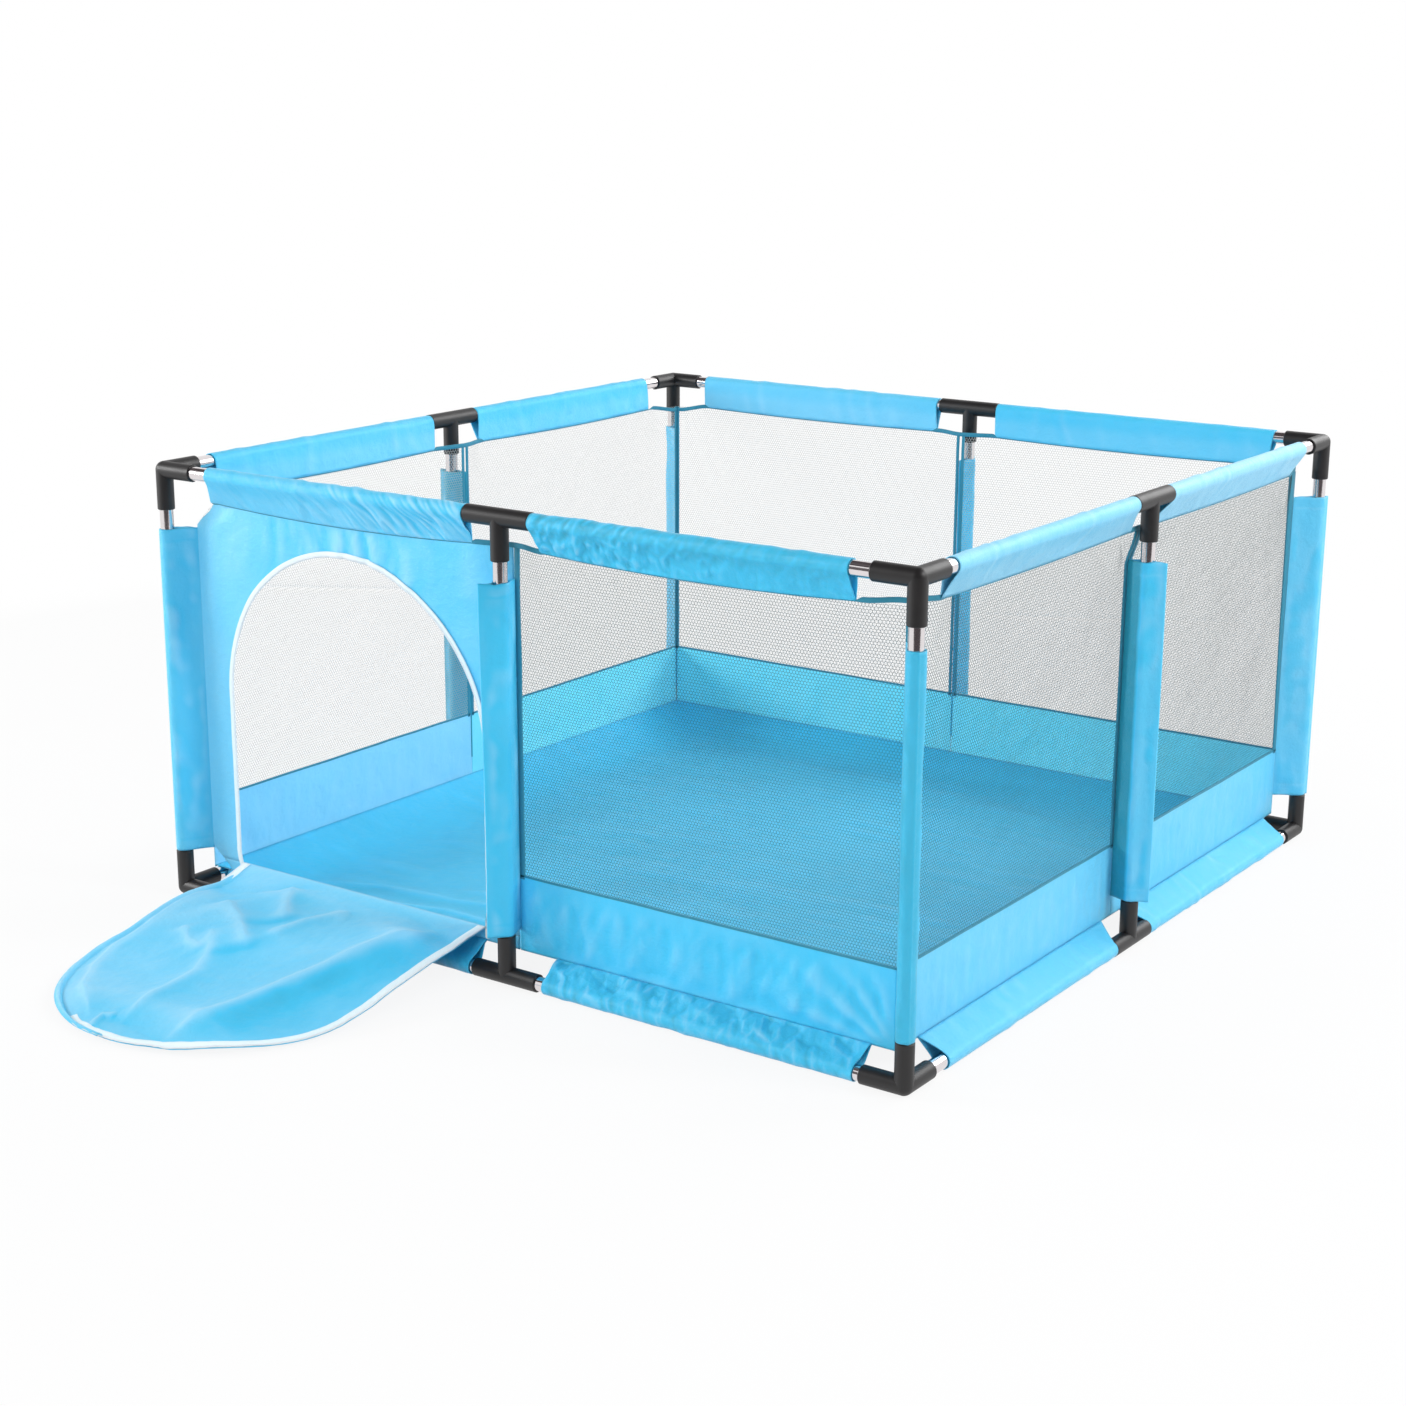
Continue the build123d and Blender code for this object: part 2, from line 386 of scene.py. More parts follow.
def mixColour(tree, factor, first, second, blend="MIX"):
    # inputs 6 and 7 of a mix node are its colours, and output 2 is the mixed one
    values = {"Factor": factor, 6: first, 7: second}
    return addNode(tree, "ShaderNodeMix", values, data_type="RGBA", blend_type=blend)[2]


def bump(tree, height, distance, strength, before=None):
    values = {"Height": height, "Distance": distance, "Strength": strength, "Normal": before}
    return addNode(tree, "ShaderNodeBump", values)["Normal"]


def buildWeave():
    # plain weave: two sets of ribs that swap over a checker
    group, start, end = newGroup(
        "plainWeave",
        [("Vector", vectorKind, None), ("Threads", floatKind, 1000.0)],
        [("Height", floatKind), ("Shade", floatKind)],
    )
    ribs = {"Vector": start["Vector"], "Distortion": 0.0}
    ribs["Scale"] = mathNode(group, "MULTIPLY", start["Threads"], math.pi / 10)
    across, along = (addNode(group, "ShaderNodeTexWave", ribs, bands_direction=way)["Fac"] for way in ("X", "Y"))
    checker = addNode(group, "ShaderNodeTexChecker", {"Vector": start["Vector"], "Scale": start["Threads"]})
    height = addNode(group, "ShaderNodeMix", {"Factor": checker["Fac"], 2: across, 3: along})[0]
    plug(group, end, {"Height": height, "Shade": mathNode(group, "MULTIPLY_ADD", height, 0.12, 0.94)})
    return group


def buildPatches():
    # broad uneven tone and gloss, as on coated cloth that has been folded and handled; the Tone input adds the
    # painted light and shade that each piece carries
    group, start, end = newGroup(
        "patchyTone",
        [
            ("Vector", vectorKind, None),
            ("Colour", colourKind, (0.5, 0.5, 0.5, 1)),
            ("Deep", colourKind, (0.3, 0.3, 0.3, 1)),
            ("Pale", colourKind, (0.7, 0.7, 0.7, 1)),
            ("Tone", floatKind, 0.0),
            ("Scale", floatKind, 5.0),
            ("Amount", floatKind, 0.3),
            ("Gloss", floatKind, 0.45),
        ],
        [("Colour", colourKind), ("Roughness", floatKind)],
    )
    broad = noiseNode(group, start["Vector"], start["Scale"], 4.0)
    uneven = mathNode(group, "MULTIPLY", mathNode(group, "SUBTRACT", broad, 0.5), start["Amount"])
    share = mathNode(group, "ADD", uneven, start["Tone"])
    shown = start["Colour"]
    for label, sign in (("Pale", 1.0), ("Deep", -1.0)):
        shown = mixColour(group, mathNode(group, "MULTIPLY", share, sign), shown, start[label])
    fine, spread = noiseNode(group, start["Vector"], 38.0, 4.0), 0.22
    gloss = mathNode(group, "MULTIPLY_ADD", fine, spread, start["Gloss"])
    plug(group, end, {"Colour": shown, "Roughness": mathNode(group, "SUBTRACT", gloss, spread / 2)})
    return group


def buildGrain():
    # moulded or polished surface: fine grain for the bump and a slow change of gloss
    group, start, end = newGroup(
        "fineGrain",
        [
            ("Vector", vectorKind, None),
            ("Scale", floatKind, 900.0),
            ("Gloss", floatKind, 0.4),
            ("Spread", floatKind, 0.1),
        ],
        [("Height", floatKind), ("Roughness", floatKind), ("Wear", floatKind)],
    )
    grain = noiseNode(group, start["Vector"], start["Scale"], 2.0)
    slow = noiseNode(group, start["Vector"], 26.0, 4.0, 0.62)
    gloss = mathNode(group, "MULTIPLY_ADD", slow, start["Spread"], start["Gloss"])
    plug(group, end, {"Height": grain, "Roughness": gloss, "Wear": slow})
    return group


weaveGroup = buildWeave()
patchGroup = buildPatches()
grainGroup = buildGrain()


def newMaterial(name):
    material = bpy.data.materials.new(name)
    material.use_nodes = True
    tree = material.node_tree
    return material, tree, tree.nodes["Principled BSDF"].inputs


def objectPlace(tree):
    return addNode(tree, "ShaderNodeTexCoord", {})["Object"]


def clothMaterial(name, look):
    material, tree, shader = newMaterial(name)
    place = objectPlace(tree)
    values = {label: (*look[label.lower()], 1) for label in ("Colour", "Deep", "Pale")}
    values |= {"Scale": look["patch"], "Amount": look["amount"], "Gloss": look["gloss"], "Vector": place}
    values["Tone"] = addNode(tree, "ShaderNodeAttribute", {}, attribute_name="clothTone")["Fac"]
    tone = addNode(tree, "ShaderNodeGroup", values, node_tree=patchGroup)
    uv = addNode(tree, "ShaderNodeUVMap", {}, uv_map="clothUv")["UV"]
    weave = addNode(tree, "ShaderNodeGroup", {"Vector": uv, "Threads": look["threads"]}, node_tree=weaveGroup)
    rough = bump(tree, noiseNode(tree, place, look["crumple"], 5.0, 0.6), look["crumpleDepth"], 1.0)
    finish = {
        "Base Color": mixColour(tree, 1.0, tone["Colour"], weave["Shade"], "MULTIPLY"),
        "Roughness": tone["Roughness"],
        "Normal": bump(tree, weave["Height"], look["weaveDepth"], 0.6, rough),
        "Specular IOR Level": look["shine"],
        "Subsurface Weight": look["through"],
        "Subsurface Radius": (1.0, 1.0, 1.0),
        "Subsurface Scale": 0.003,
        "Sheen Weight": look["sheen"],
        "Sheen Roughness": 0.4,
    }
    plug(tree, shader, finish)
    return material


oxfordLook = {
    "colour": (0.050, 0.545, 0.875),
    "deep": (0.022, 0.315, 0.445),
    "pale": (0.275, 0.665, 0.935),
    "patch": 4.0,
    "amount": 0.5,
    "gloss": 0.37,
    "threads": 900.0,
    "crumple": 34.0,
    "crumpleDepth": 0.0034,
    "weaveDepth": 0.00022,
    "shine": 0.42,
    "sheen": 0.10,
    "through": 0.25,  # light that comes through the thin cloth
}
tapeLook = dict(oxfordLook, shine=0.3, through=0.0)
# painted shade: the binding is given a dark teal, as blue tape seen in shade
bindingLook = dict(tapeLook, colour=(0.032, 0.235, 0.345), deep=(0.02, 0.17, 0.27), pale=(0.05, 0.30, 0.42))
bindingLook.update(threads=700.0, gloss=0.6)
zipTapeLook = dict(tapeLook, colour=(0.80, 0.91, 0.94), deep=(0.62, 0.80, 0.88), pale=(0.93, 0.95, 0.96))
zipTapeLook.update(threads=1300.0, gloss=0.62, crumpleDepth=0.0005)
# a paler copy of the cloth: painted light on the inner faces of some wall strips
paintedLightInsideLook = dict(oxfordLook, colour=(0.15, 0.765, 0.975), deep=(0.09, 0.58, 0.84), pale=(0.30, 0.82, 0.98))
oxford = clothMaterial("oxfordBlue", oxfordLook)
oxfordPaintedLightInside = clothMaterial("oxfordPaintedLightInside", paintedLightInsideLook)
binding = clothMaterial("bindingTape", bindingLook)
zipTape = clothMaterial("zipTapeWhite", zipTapeLook)


def grainMaterial(name, look):
    material, tree, shader = newMaterial(name)
    values = {"Scale": look["grain"], "Gloss": look["gloss"], "Spread": look["spread"], "Vector": objectPlace(tree)}
    grain = addNode(tree, "ShaderNodeGroup", values, node_tree=grainGroup)
    shown = mixColour(tree, grain["Wear"], (*look["colour"], 1), (*look["worn"], 1))
    if "inside" in look:  # painted light: threads seen from their back face are painted pale, standing in for the light on the far nets inside the pen
        face = addNode(tree, "ShaderNodeNewGeometry", {})["Backfacing"]
        shown = mixColour(tree, face, shown, (*look["inside"], 1))
    finish = {
        "Base Color": shown,
        "Roughness": grain["Roughness"],
        "Normal": bump(tree, grain["Height"], look["depth"], 0.5),
        "Metallic": look["metal"],
        "Specular IOR Level": look["shine"],
    }
    plug(tree, shader, finish)
    return material


plasticLook = {
    "colour": (0.007, 0.0065, 0.007),
    "worn": (0.019, 0.0175, 0.018),
    "grain": 1400.0,
    "gloss": 0.36,
    "spread": 0.16,
    "depth": 0.00012,
    "metal": 0.0,
    "shine": 0.5,
}
chromeLook = dict(plasticLook, colour=(0.82, 0.78, 0.79), worn=(0.70, 0.66, 0.67), gloss=0.04, metal=1.0)
chromeLook.update(grain=600.0, spread=0.10, depth=0.00003)
# inside: pale colour of threads seen from their back face, painted light
netLook = dict(plasticLook, colour=(0.022, 0.050, 0.058), worn=(0.042, 0.074, 0.082), inside=(0.52, 0.52, 0.50))
netLook.update(gloss=0.6, depth=0.00005, shine=0.2)
coilLook = dict(plasticLook, colour=(0.80, 0.84, 0.87), worn=(0.70, 0.76, 0.80), gloss=0.3, depth=0.00004)
zipMetalLook = dict(coilLook, colour=(0.78, 0.79, 0.80), worn=(0.62, 0.63, 0.65), gloss=0.2, metal=0.9)
plastic = grainMaterial("connectorPlastic", plasticLook)
chrome = grainMaterial("chromeTube", chromeLook)
netThread = grainMaterial("netThread", netLook)
zipCoil = grainMaterial("zipCoil", coilLook)
zipMetal = grainMaterial("zipMetal", zipMetalLook)
print("materials ready")


# Frame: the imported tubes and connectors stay, with their own finish
for node, piece in frame["nodes"].items():
    if "_rail_" in node or "_post_" in node:
        finish = chrome
    elif "_tee_" in node or "_corner_" in node:
        finish = plastic
    elif node in ("zip_slider", "zip_pull"):
        finish = zipMetal
    else:
        continue
    piece.data.materials.clear()
    piece.data.materials.append(finish)


def dress(piece, slot, body, *nodes):
    if nodes:
        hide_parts(*nodes)
    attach(piece, body)


def finishCloth(piece, nodes, slot):
    dress(piece, slot, "playpen", *nodes)


# Rail sleeves: cloth goes up from the seam, over the tube and back down to the same seam
sleeveSettings = {
    "slack": 0.0014,
    "layerGap": 0.0007,
    "lowSeam": (0.0012, 0.0015),  # out from the wall and up from its lower edge
    "wave": (0.0010, 16.0),  # height and scale of the slow waves
    "sink": 0.005,  # how far in a fold may go away from the tube
    "worn": (0.8, 0.0011),  # strength and height of the painted fold shading: painted highlight on the crests, painted shade in the hollows
    "topShade": 0.25,
    "topEnds": {  # along the rail from the tee: start, stop, and how far each end leans at the seam
        "front_right": (0.0545, 0.5385, 0.002, -0.004),
        "front_left": (0.0560, 0.5350, 0.004, 0.016),
        "left_front": (0.0545, 0.5380, 0.005, 0.000),
        "left_back": (0.0560, 0.5300, -0.006, -0.004),
        "back_left": (0.0600, 0.5470, -0.006, -0.004),
        "back_right": (0.0555, 0.5500, 0.003, -0.005),
        "right_back": (0.0550, 0.5320, -0.030, 0.004),
        "right_front": (0.0550, 0.5480, -0.030, -0.004),
    },
    "lowEnds": {
        "front_right": (0.0685, 0.5585, -0.002, 0.005),
        "right_front": (0.0530, 0.5340, -0.022, 0.012),
        "right_back": (0.0530, 0.5520, -0.022, 0.006),
    },
    "plainEnds": (0.0600, 0.5560, 0.000, 0.004),
}


def halfName(quarter, half):
    return "%s_%s" % (sides[quarter], sides[(quarter + (1 if half > 0 else -1)) % 4])


def pieceName(stem, quarter, half=None):
    words = halfName(quarter, half).split("_") if half else [sides[quarter]]
    return stem + "".join(w.capitalize() for w in words)


def loopProfile(tube, radius, seam, gap, flatSteps, arcSteps):
    tube, seam = np.array(tube), np.array(seam)
    line = tube - seam
    reach = np.linalg.norm(line)
    e = line / reach
    n = np.array([-e[1], e[0]])
    turn = math.acos(radius / reach)
    points, normals = [], []

    def angle(a):
        return tube + radius * (-math.cos(a) * e + math.sin(a) * n)

    for sign in (1, -1):
        touch = angle(sign * turn)
        foot = seam + n * sign * gap
        out = np.array([-(touch - foot)[1], (touch - foot)[0]])
        out = out / np.linalg.norm(out) * sign
        run = [(foot + (touch - foot) * i / flatSteps, out) for i in range(flatSteps + 1)]
        arc = []
        if sign == 1:
            for i in range(1, arcSteps):
                p = angle(turn + (2 * math.pi - 2 * turn) * i / arcSteps)
                arc.append((p, (p - tube) / radius))
        else:
            run = run[::-1]
        points += [p for p, _ in run + arc]
        normals += [q for _, q in run + arc]
    return np.array(points), np.array(normals)


def railSleeve(name, quarter, half, level, style):
    s = sleeveSettings
    place = halfName(quarter, half)
    if level == "top":
        rail, seam = (-railOut, railTop), (-seamOut, seamTop)
        start, stop, startLean, stopLean = s["topEnds"][place]
    else:
        rail, seam = (-railOut, railLow), (-(wallOut + s["lowSeam"][0]), wallLow + s["lowSeam"][1])
        start, stop, startLean, stopLean = s["lowEnds"].get(place, s["plainEnds"])
    profile, normals = loopProfile(rail, tubeRadius + s["slack"], seam, s["layerGap"], style["flat"], style["arc"])
    away = np.linalg.norm(profile - np.array(rail), axis=1)
    span = away.max() - tubeRadius
    depth = np.clip((away - tubeRadius - s["slack"]) / (span - s["slack"]), 0, 1)[None, :]
    t = np.linspace(0, 1, style["steps"])[:, None]
    first = start + startLean * depth
    last = stop + stopLean * depth
    u = first + (last - first) * t
    points = np.stack([u, profile[None, :, 0] + 0 * u, profile[None, :, 1] + 0 * u], axis=2)
    if level == "top":
        points[:, :, 2] -= seamSag(u, sides[quarter]) * depth**1.5
    ripple = creaseField(u, depth * span + 0 * u, style["creases"])
    # folds that take the painted fold shading: highlight on the crests, shade in the hollows
    worn = ripple * 0.3
    if "crumple" in style:
        c = style["crumple"]
        here = 1 - smooth((u - c["from"]) / (c["to"] - c["from"]))
        around = wayAlong(profile) + 0 * u
        relief = crumple(u, around, c["cell"], style["seed"], c["stretch"], c["slant"]) * 2 * c["height"]
        relief = relief * (c["least"] + (1 - c["least"]) * here)
        worn = worn + relief
        ripple = ripple + relief * (c["round"] + (1 - c["round"]) * smooth(depth * 3))
    wave = s["wave"][0] * cloud(points, s["wave"][1], style["seed"]) * smooth(depth * 3)
    hold = smooth((1 - depth) * 7)
    free = smooth(depth * 4)
    push = np.maximum((ripple + wave) * hold, -s["slack"] * 0.6 * (1 - free) - s["sink"] * free)
    points[:, :, 1] += push * normals[None, :, 0]
    points[:, :, 2] += push * normals[None, :, 1]
    if level == "bottom":
        points[:, :, 2] = np.maximum(points[:, :, 2], 0.0008)
    # painted light of the side and the sleeve, with painted fold shading
    tone = style["tone"] + s["worn"][0] * paintedFoldShading(worn, s["worn"][1])
    if level == "top":
        tone = tone - s["topShade"] * (1 - smooth(depth * 2.2))
    if half < 0:
        points, tone = mirrored(points), tone[::-1]
    piece = clothPiece(name, turned(points, quarter), oxford, tone=tone)
    flat = (stepLengths(profile).sum(), stop - start + 0.5 * (stopLean - startLean))
    finishCloth(piece, [level + "_sleeves"], "blue_fabric")


smoothSleeve = {"flat": 10, "arc": 16, "steps": 150}
creasedSleeve = {"flat": 26, "arc": 26, "steps": 400}
foldKeys = ("cell", "stretch", "slant", "height", "from", "to", "least", "round")
topFolds = {
    "front_right": (0.020, 1.5, 0.15, 0.0056, 0.10, 0.42, 0.25, 0.25),
    "front_left": (0.016, 3.0, 0.85, 0.0052, 0.12, 0.42, 0.10, 0.30),
}
lowFolds = {
    "front_right": (0.028, 1.6, 0.10, 0.0064, 0.3, 0.9, 0.45, 0.05),
    "front_left": (0.034, 1.4, 0.10, 0.0045, 0.3, 0.9, 0.5, 0.05),
}
# painted light: each side's cloth is paler or deeper by how the light falls on it, the right side palest
sidePaintedLight = {"front": 0.05, "right": 0.38, "back": 0.18, "left": 0.28}
sleevePaintedLight = {  # painted light on each top sleeve, added to that of the side
    "front_left": 0.42,
    "front_right": -0.14,
    "right_front": 0.58,
    "right_back": 0.85,
    "back_left": 0.35,
    "back_right": 0.10,
    "left_front": 0.12,
}
# painted shade: the bottom skirts are deeper than the walls above
skirtPaintedShade = -0.15
# painted light: the door panel and its flap are paler than the rest of the cloth
doorPaintedLight = 0.34
for quarter in range(4):
    for half in (1, -1):
        for level, stem, folds in (("top", "topSleeve", topFolds), ("bottom", "bottomSkirt", lowFolds)):
            place = halfName(quarter, half)
            seed = quarter * 4 + half + (40 if level == "bottom" else 0)
            style = dict(creasedSleeve if place in folds else smoothSleeve, seed=seed)
            # painted light and shade of this sleeve or skirt
            style["tone"] = sidePaintedLight[sides[quarter]] + (sleevePaintedLight.get(place, 0.0) if level == "top" else skirtPaintedShade)
            style["creases"] = makeCreases(100 + seed)
            if place in folds:
                style["crumple"] = dict(zip(foldKeys, folds[place]))
            railSleeve(pieceName(stem, quarter, half), quarter, half, level, style)
print("rail sleeves sewn")


# Post pockets: a flat loop from the wall seam round the post, with slack beyond it
pocketSettings = {
    "midPast": 0.027,
    "cornerPast": {"front": 0.0130, "right": 0.0155, "back": 0.0135, "left": 0.0118},
    "swing": {"front": -0.013, "right": 0.004, "back": 0.005, "left": -0.003},
    "rows": 140,
    "across": 26,
    "loop": ((0, 0.0007), (0.35, 0.0036), (0.75, 0.0092)),  # shares of the way to the post, half thickness there
    "tail": (0.012, 0.72, 0.0030),  # full up to this length beyond the post, narrowing, least half thickness
    "slack": 0.0016,
    "hem": 0.018,
    "fold": (0.0016, 30.0),  # height and scale of the long folds, and of the crinkles
    "crinkle": (0.0011, 22.0),
    "stitch": (0.0003, 0.0018),  # depth and width of the hem's seam
    "ragged": 0.0016,
    # painted fold shading: highlight on the crests, shade in the hollows
    "worn": (0.7, 0.0011),
    # painted light and shade on each pocket: deeper where the post lies behind the cloth or the pocket is in shade,
    # paler where the light falls
    "midPaintedLight": {"front": 0.05, "right": 0.25, "back": -0.2, "left": -0.85},
    "cornerPaintedLight": {"front": -0.40, "right": 0.35, "back": 0.1, "left": 0.25},
    "shadeTone": -1.5,  # the flank of the right pocket that turns away from the light
}


def pocketOutline(reach, past, radius, across):
    # half thickness of the loop along its own length, from the seam to the outer fold
    shares, thin = zip(*pocketSettings["loop"])
    full, narrow, least = pocketSettings["tail"]
    stops = [*(reach * share for share in shares), reach, reach + 0.5 * past, reach + past]
    halves = [*thin, radius, max(least, radius * min(1.0, full / past) * narrow), thin[0]]
    share = (1 - np.cos(np.linspace(0, math.pi, across))) / 2
    along = share * stops[-1]
    half = np.interp(along, stops, halves)
    for _ in range(2):
        half[1:-1] = (half[:-2] + 2 * half[1:-1] + half[2:]) / 4
    post = np.sqrt(np.maximum(radius**2 - (along - reach) ** 2, 0))
    return along, np.maximum(half, post)


def postPocket(quarter, corner):
    s = pocketSettings
    seam = wallOut - 0.0008
    if corner:
        base, outward = np.array([seam, -seam]), np.array([1, -1]) / math.sqrt(2)
        reach, past, swing = (railOut - seam) * math.sqrt(2), s["cornerPast"][sides[quarter]], 0.0
    else:
        base, outward = np.array([0, -seam]), np.array([0.0, -1.0])
        reach, past, swing = railOut - seam, s["midPast"], s["swing"][sides[quarter]]
    sideways = np.array([-outward[1], outward[0]])
    along, half = pocketOutline(reach, past, tubeRadius + s["slack"], s["across"])
    loopAlong = np.concatenate([along, along[-2::-1]])
    loopHalf = np.concatenate([half, -half[-2::-1]])
    z = np.linspace(pocketLow, pocketTop, s["rows"])
    seed = 60 + quarter * 2 + int(corner)
    points = np.zeros((len(z), len(loopAlong), 3))
    share = loopAlong / loopAlong.max()
    post = reach + 0.9 * tubeRadius
    beyond = np.maximum(loopAlong - post, 0) / (reach + past - post)
    lean = swing * beyond[None, :] ** 1.4 * (1 + 0.25 * np.sin(z * 7 + seed))[:, None]
    offset = loopHalf[None, :, None] + lean[:, :, None]
    points[:, :, :2] = base + loopAlong[None, :, None] * outward + offset * sideways
    points[:, :, 2] = z[:, None]
    folds = s["fold"][0] * cloud(points * np.array([1, 1, 0.25]), s["fold"][1], seed)
    folds = folds + s["crinkle"][0] * cloud(points, s["crinkle"][1], seed + 5)
    hold = smooth(np.minimum(share, 1 - share) * 6)[None, :]
    push = np.sign(loopHalf)[None, :] * np.maximum(folds, -0.0003) * hold
    ends = np.minimum(z - pocketLow, pocketTop - z)
    depth, wide = s["stitch"]
    stitch = np.exp(-(((ends - s["hem"]) / wide) ** 2)) + 1.2 * np.exp(-((ends / 0.003) ** 2))
    push -= np.sign(loopHalf)[None, :] * depth * stitch[:, None] * hold
    points[:, :, :2] += push[:, :, None] * sideways
    edge = z[:, None] > pocketTop - 0.03
    points[:, :, 2] += s["ragged"] * cloud(points * np.array([1, 1, 0]), 40.0, seed + 9) * edge
    name = pieceName("cornerPocket", quarter, 1) if corner else pieceName("midPocket", quarter)
    # painted light and shade of the pocket, with painted fold shading
    tone = s["cornerPaintedLight" if corner else "midPaintedLight"][sides[quarter]]
    tone = tone + s["worn"][0] * paintedFoldShading(push, s["worn"][1])
    if sides[quarter] == "right" and not corner:
        tone = tone + s["shadeTone"] * ((loopHalf < 0) * smooth((0.55 - share) / 0.15))[None, :]
    piece = clothPiece(name, turned(points, quarter), oxford, tone=tone)
    flat = (stepLengths(points[5]).sum(), pocketTop - pocketLow)
    tube = "corner_post_" + halfName(quarter, 1) if corner else "mid_post_" + sides[quarter]
    finishCloth(piece, ["post_pockets"], "blue_fabric")


for quarter in range(4):
    postPocket(quarter, False)
    postPocket(quarter, True)
print("post pockets sewn")


# Lower wall band, one strip for each half side with net above it
bandSettings = {
    "gather": {"front": 0.0034, "other": 0.0016},
    "gatherScale": 15.0,
    "fine": {"front": 0.0008, "other": 0.0006},
    "fineScale": 48.0,
    "steps": 220,
    "rows": 34,
    "inside": 0.65,  # painted light: the inner face of the band is painted paler, for the light on the inside of the pen
    "lighter": ("back_left", "back_right", "left_back"),  # strips whose inner face takes the paler painted-light copy of the cloth, and the tone added there
    "lighterInside": 0.1,
    "crumple": (0.0030, 0.045, 3.0, 0.35),  # on the front strip: height, cell, stretch and slant
    "fan": (0.0016, 21, 0.6, 0.11, 0.09),  # height, folds to a turn, start, and where they are highest
    # painted fold shading: highlight on the crests, shade in the hollows
    "worn": (0.4, 0.0016, 24),
}


def wallBand(quarter, half):
    s = bandSettings
    kind = "front" if sides[quarter] == "front" else "other"
    u = np.linspace(0.0004, wallOut - 0.0012, s["steps"])
    z = np.linspace(wallLow, bandTop, s["rows"])
    points = np.zeros((len(u), len(z), 3))
    points[:, :, 0], points[:, :, 1], points[:, :, 2] = u[:, None], -wallOut, z[None, :]
    seed = 80 + quarter * 2 + (half > 0)
    gathers = cloud(points * np.array([1, 1, 0.22]), s["gatherScale"], seed, 3)
    small = cloud(points * np.array([1, 1, 0.5]), s["fineScale"], seed + 3)
    up = (z - wallLow) / (bandTop - wallLow)
    hold = smooth(np.minimum(up * 5, (1 - up) * 3))[None, :]
    ends = smooth(np.minimum(u, wallOut - u) / 0.03)[:, None]
    push = s["gather"][kind] * gathers + s["fine"][kind] * small
    if kind == "front":  # gathers, and folds that fan out from the corner below
        x, rise = points[:, :, 0], points[:, :, 2] - wallLow
        turn = np.arctan2(rise + 0.02, wallOut + 0.02 - x)
        far = np.hypot(rise + 0.02, wallOut + 0.02 - x)
        high, count, start, middleFar, wide = s["fan"]
        fan = np.cos(turn * count + start) * np.exp(-((far - middleFar) / wide) ** 2)
        height, cell, stretch, slant = s["crumple"]
        push = push + height * crumple(x, rise, cell, 83, stretch, slant) * 2 + high * fan
    points[:, :, 1] -= push * hold * ends
    # painted light of the side, with painted fold shading
    tone = sidePaintedLight[sides[quarter]] + s["worn"][0] * paintedFoldShading(push * hold * ends, *s["worn"][1:])
    place = halfName(quarter, half)
    # painted light on the inner face of the strip
    inside = s["lighterInside" if place in s["lighter"] else "inside"]
    if half < 0:
        points, tone = mirrored(points), tone[::-1]
    name = pieceName("wallBand", quarter, half)
    piece = clothPiece(name, turned(points, quarter), oxford, tone=tone, inside=inside)
    # the inner faces of these strips take the painted-light copy of the cloth
    if place in s["lighter"]:
        piece.data.materials.append(oxfordPaintedLightInside)
        inner = len(u) * len(z)
        for face in piece.data.polygons:
            face.material_index = int(min(face.vertices) >= inner)
    finishCloth(piece, ["wall_band"], "blue_fabric")


wallHalves = [(quarter, half) for quarter in range(4) for half in (1, -1)]
wallHalves.remove((0, -1))  # the door
for quarter, half in wallHalves:
    wallBand(quarter, half)


# Net panels: a knitted net of six-sided gaps, with threads that meet in threes and stand up to a ridge
notchSettings = {"pull": 0.042, "from": 0.40, "length": 0.17}


def notchPull(u, z):
    # how far the upper corner beside the door is drawn in
    s = notchSettings
    high = smooth((z - pocketTop) / (seamTop - pocketTop))
    return s["pull"] * high * smooth((u - s["from"]) / s["length"])


netSettings = {
    "pitch": 0.00450,
    "thread": 0.00050,
    "ridge": 0.00034,
    "billow": (0.004, 5.0),  # height and scale of the slow waves, and of the small ones
    "ripple": (0.0012, 18.0),
    # pressed creases: height at the tee and slope, then how far they stand out and how wide they are
    "creases": {"back_right": (0.291, 0.107), "back_left": (0.300, 0.030), "left_front": (0.361, 0.186)},
    "crease": (0.0060, 0.0032),
    "under": 0.003,  # how far the net runs under the binding
    "taut": 0.12,  # it lies flat this near to its edges
    "threadShare": 0.32,
}


def hexNet(width, height):
    pitch = netSettings["pitch"]
    side = pitch / math.sqrt(3)
    columns = int(width / pitch) + 2
    rows = int(height / (1.5 * side)) + 2
    keys, places, edges = {}, [], []

    def knot(x, y):
        key = (round(x * 2e5), round(y * 2e5))
        if key not in keys:
            keys[key] = len(places)
            places.append((x, y))
        return keys[key]

    for row in range(rows):
        for column in range(columns):
            x = (column + (0.5 if row % 2 else 0)) * pitch
            y = row * 1.5 * side
            top = knot(x, y + side)
            upLeft = knot(x - pitch / 2, y + side / 2)
            upRight = knot(x + pitch / 2, y + side / 2)
            lowRight = knot(x + pitch / 2, y - side / 2)
            edges += [(upLeft, top), (top, upRight), (upRight, lowRight)]
    places = np.array(places)
    edges = np.unique(np.sort(np.array(edges), axis=1), axis=0)
    inside = (places[:, 0] >= 0) & (places[:, 0] <= width) & (places[:, 1] >= 0) & (places[:, 1] <= height)
    edges = edges[inside[edges].all(axis=1)]
    used = np.unique(edges)
    renumber = np.full(len(places), -1)
    renumber[used] = np.arange(len(used))
    return places[used], renumber[edges]


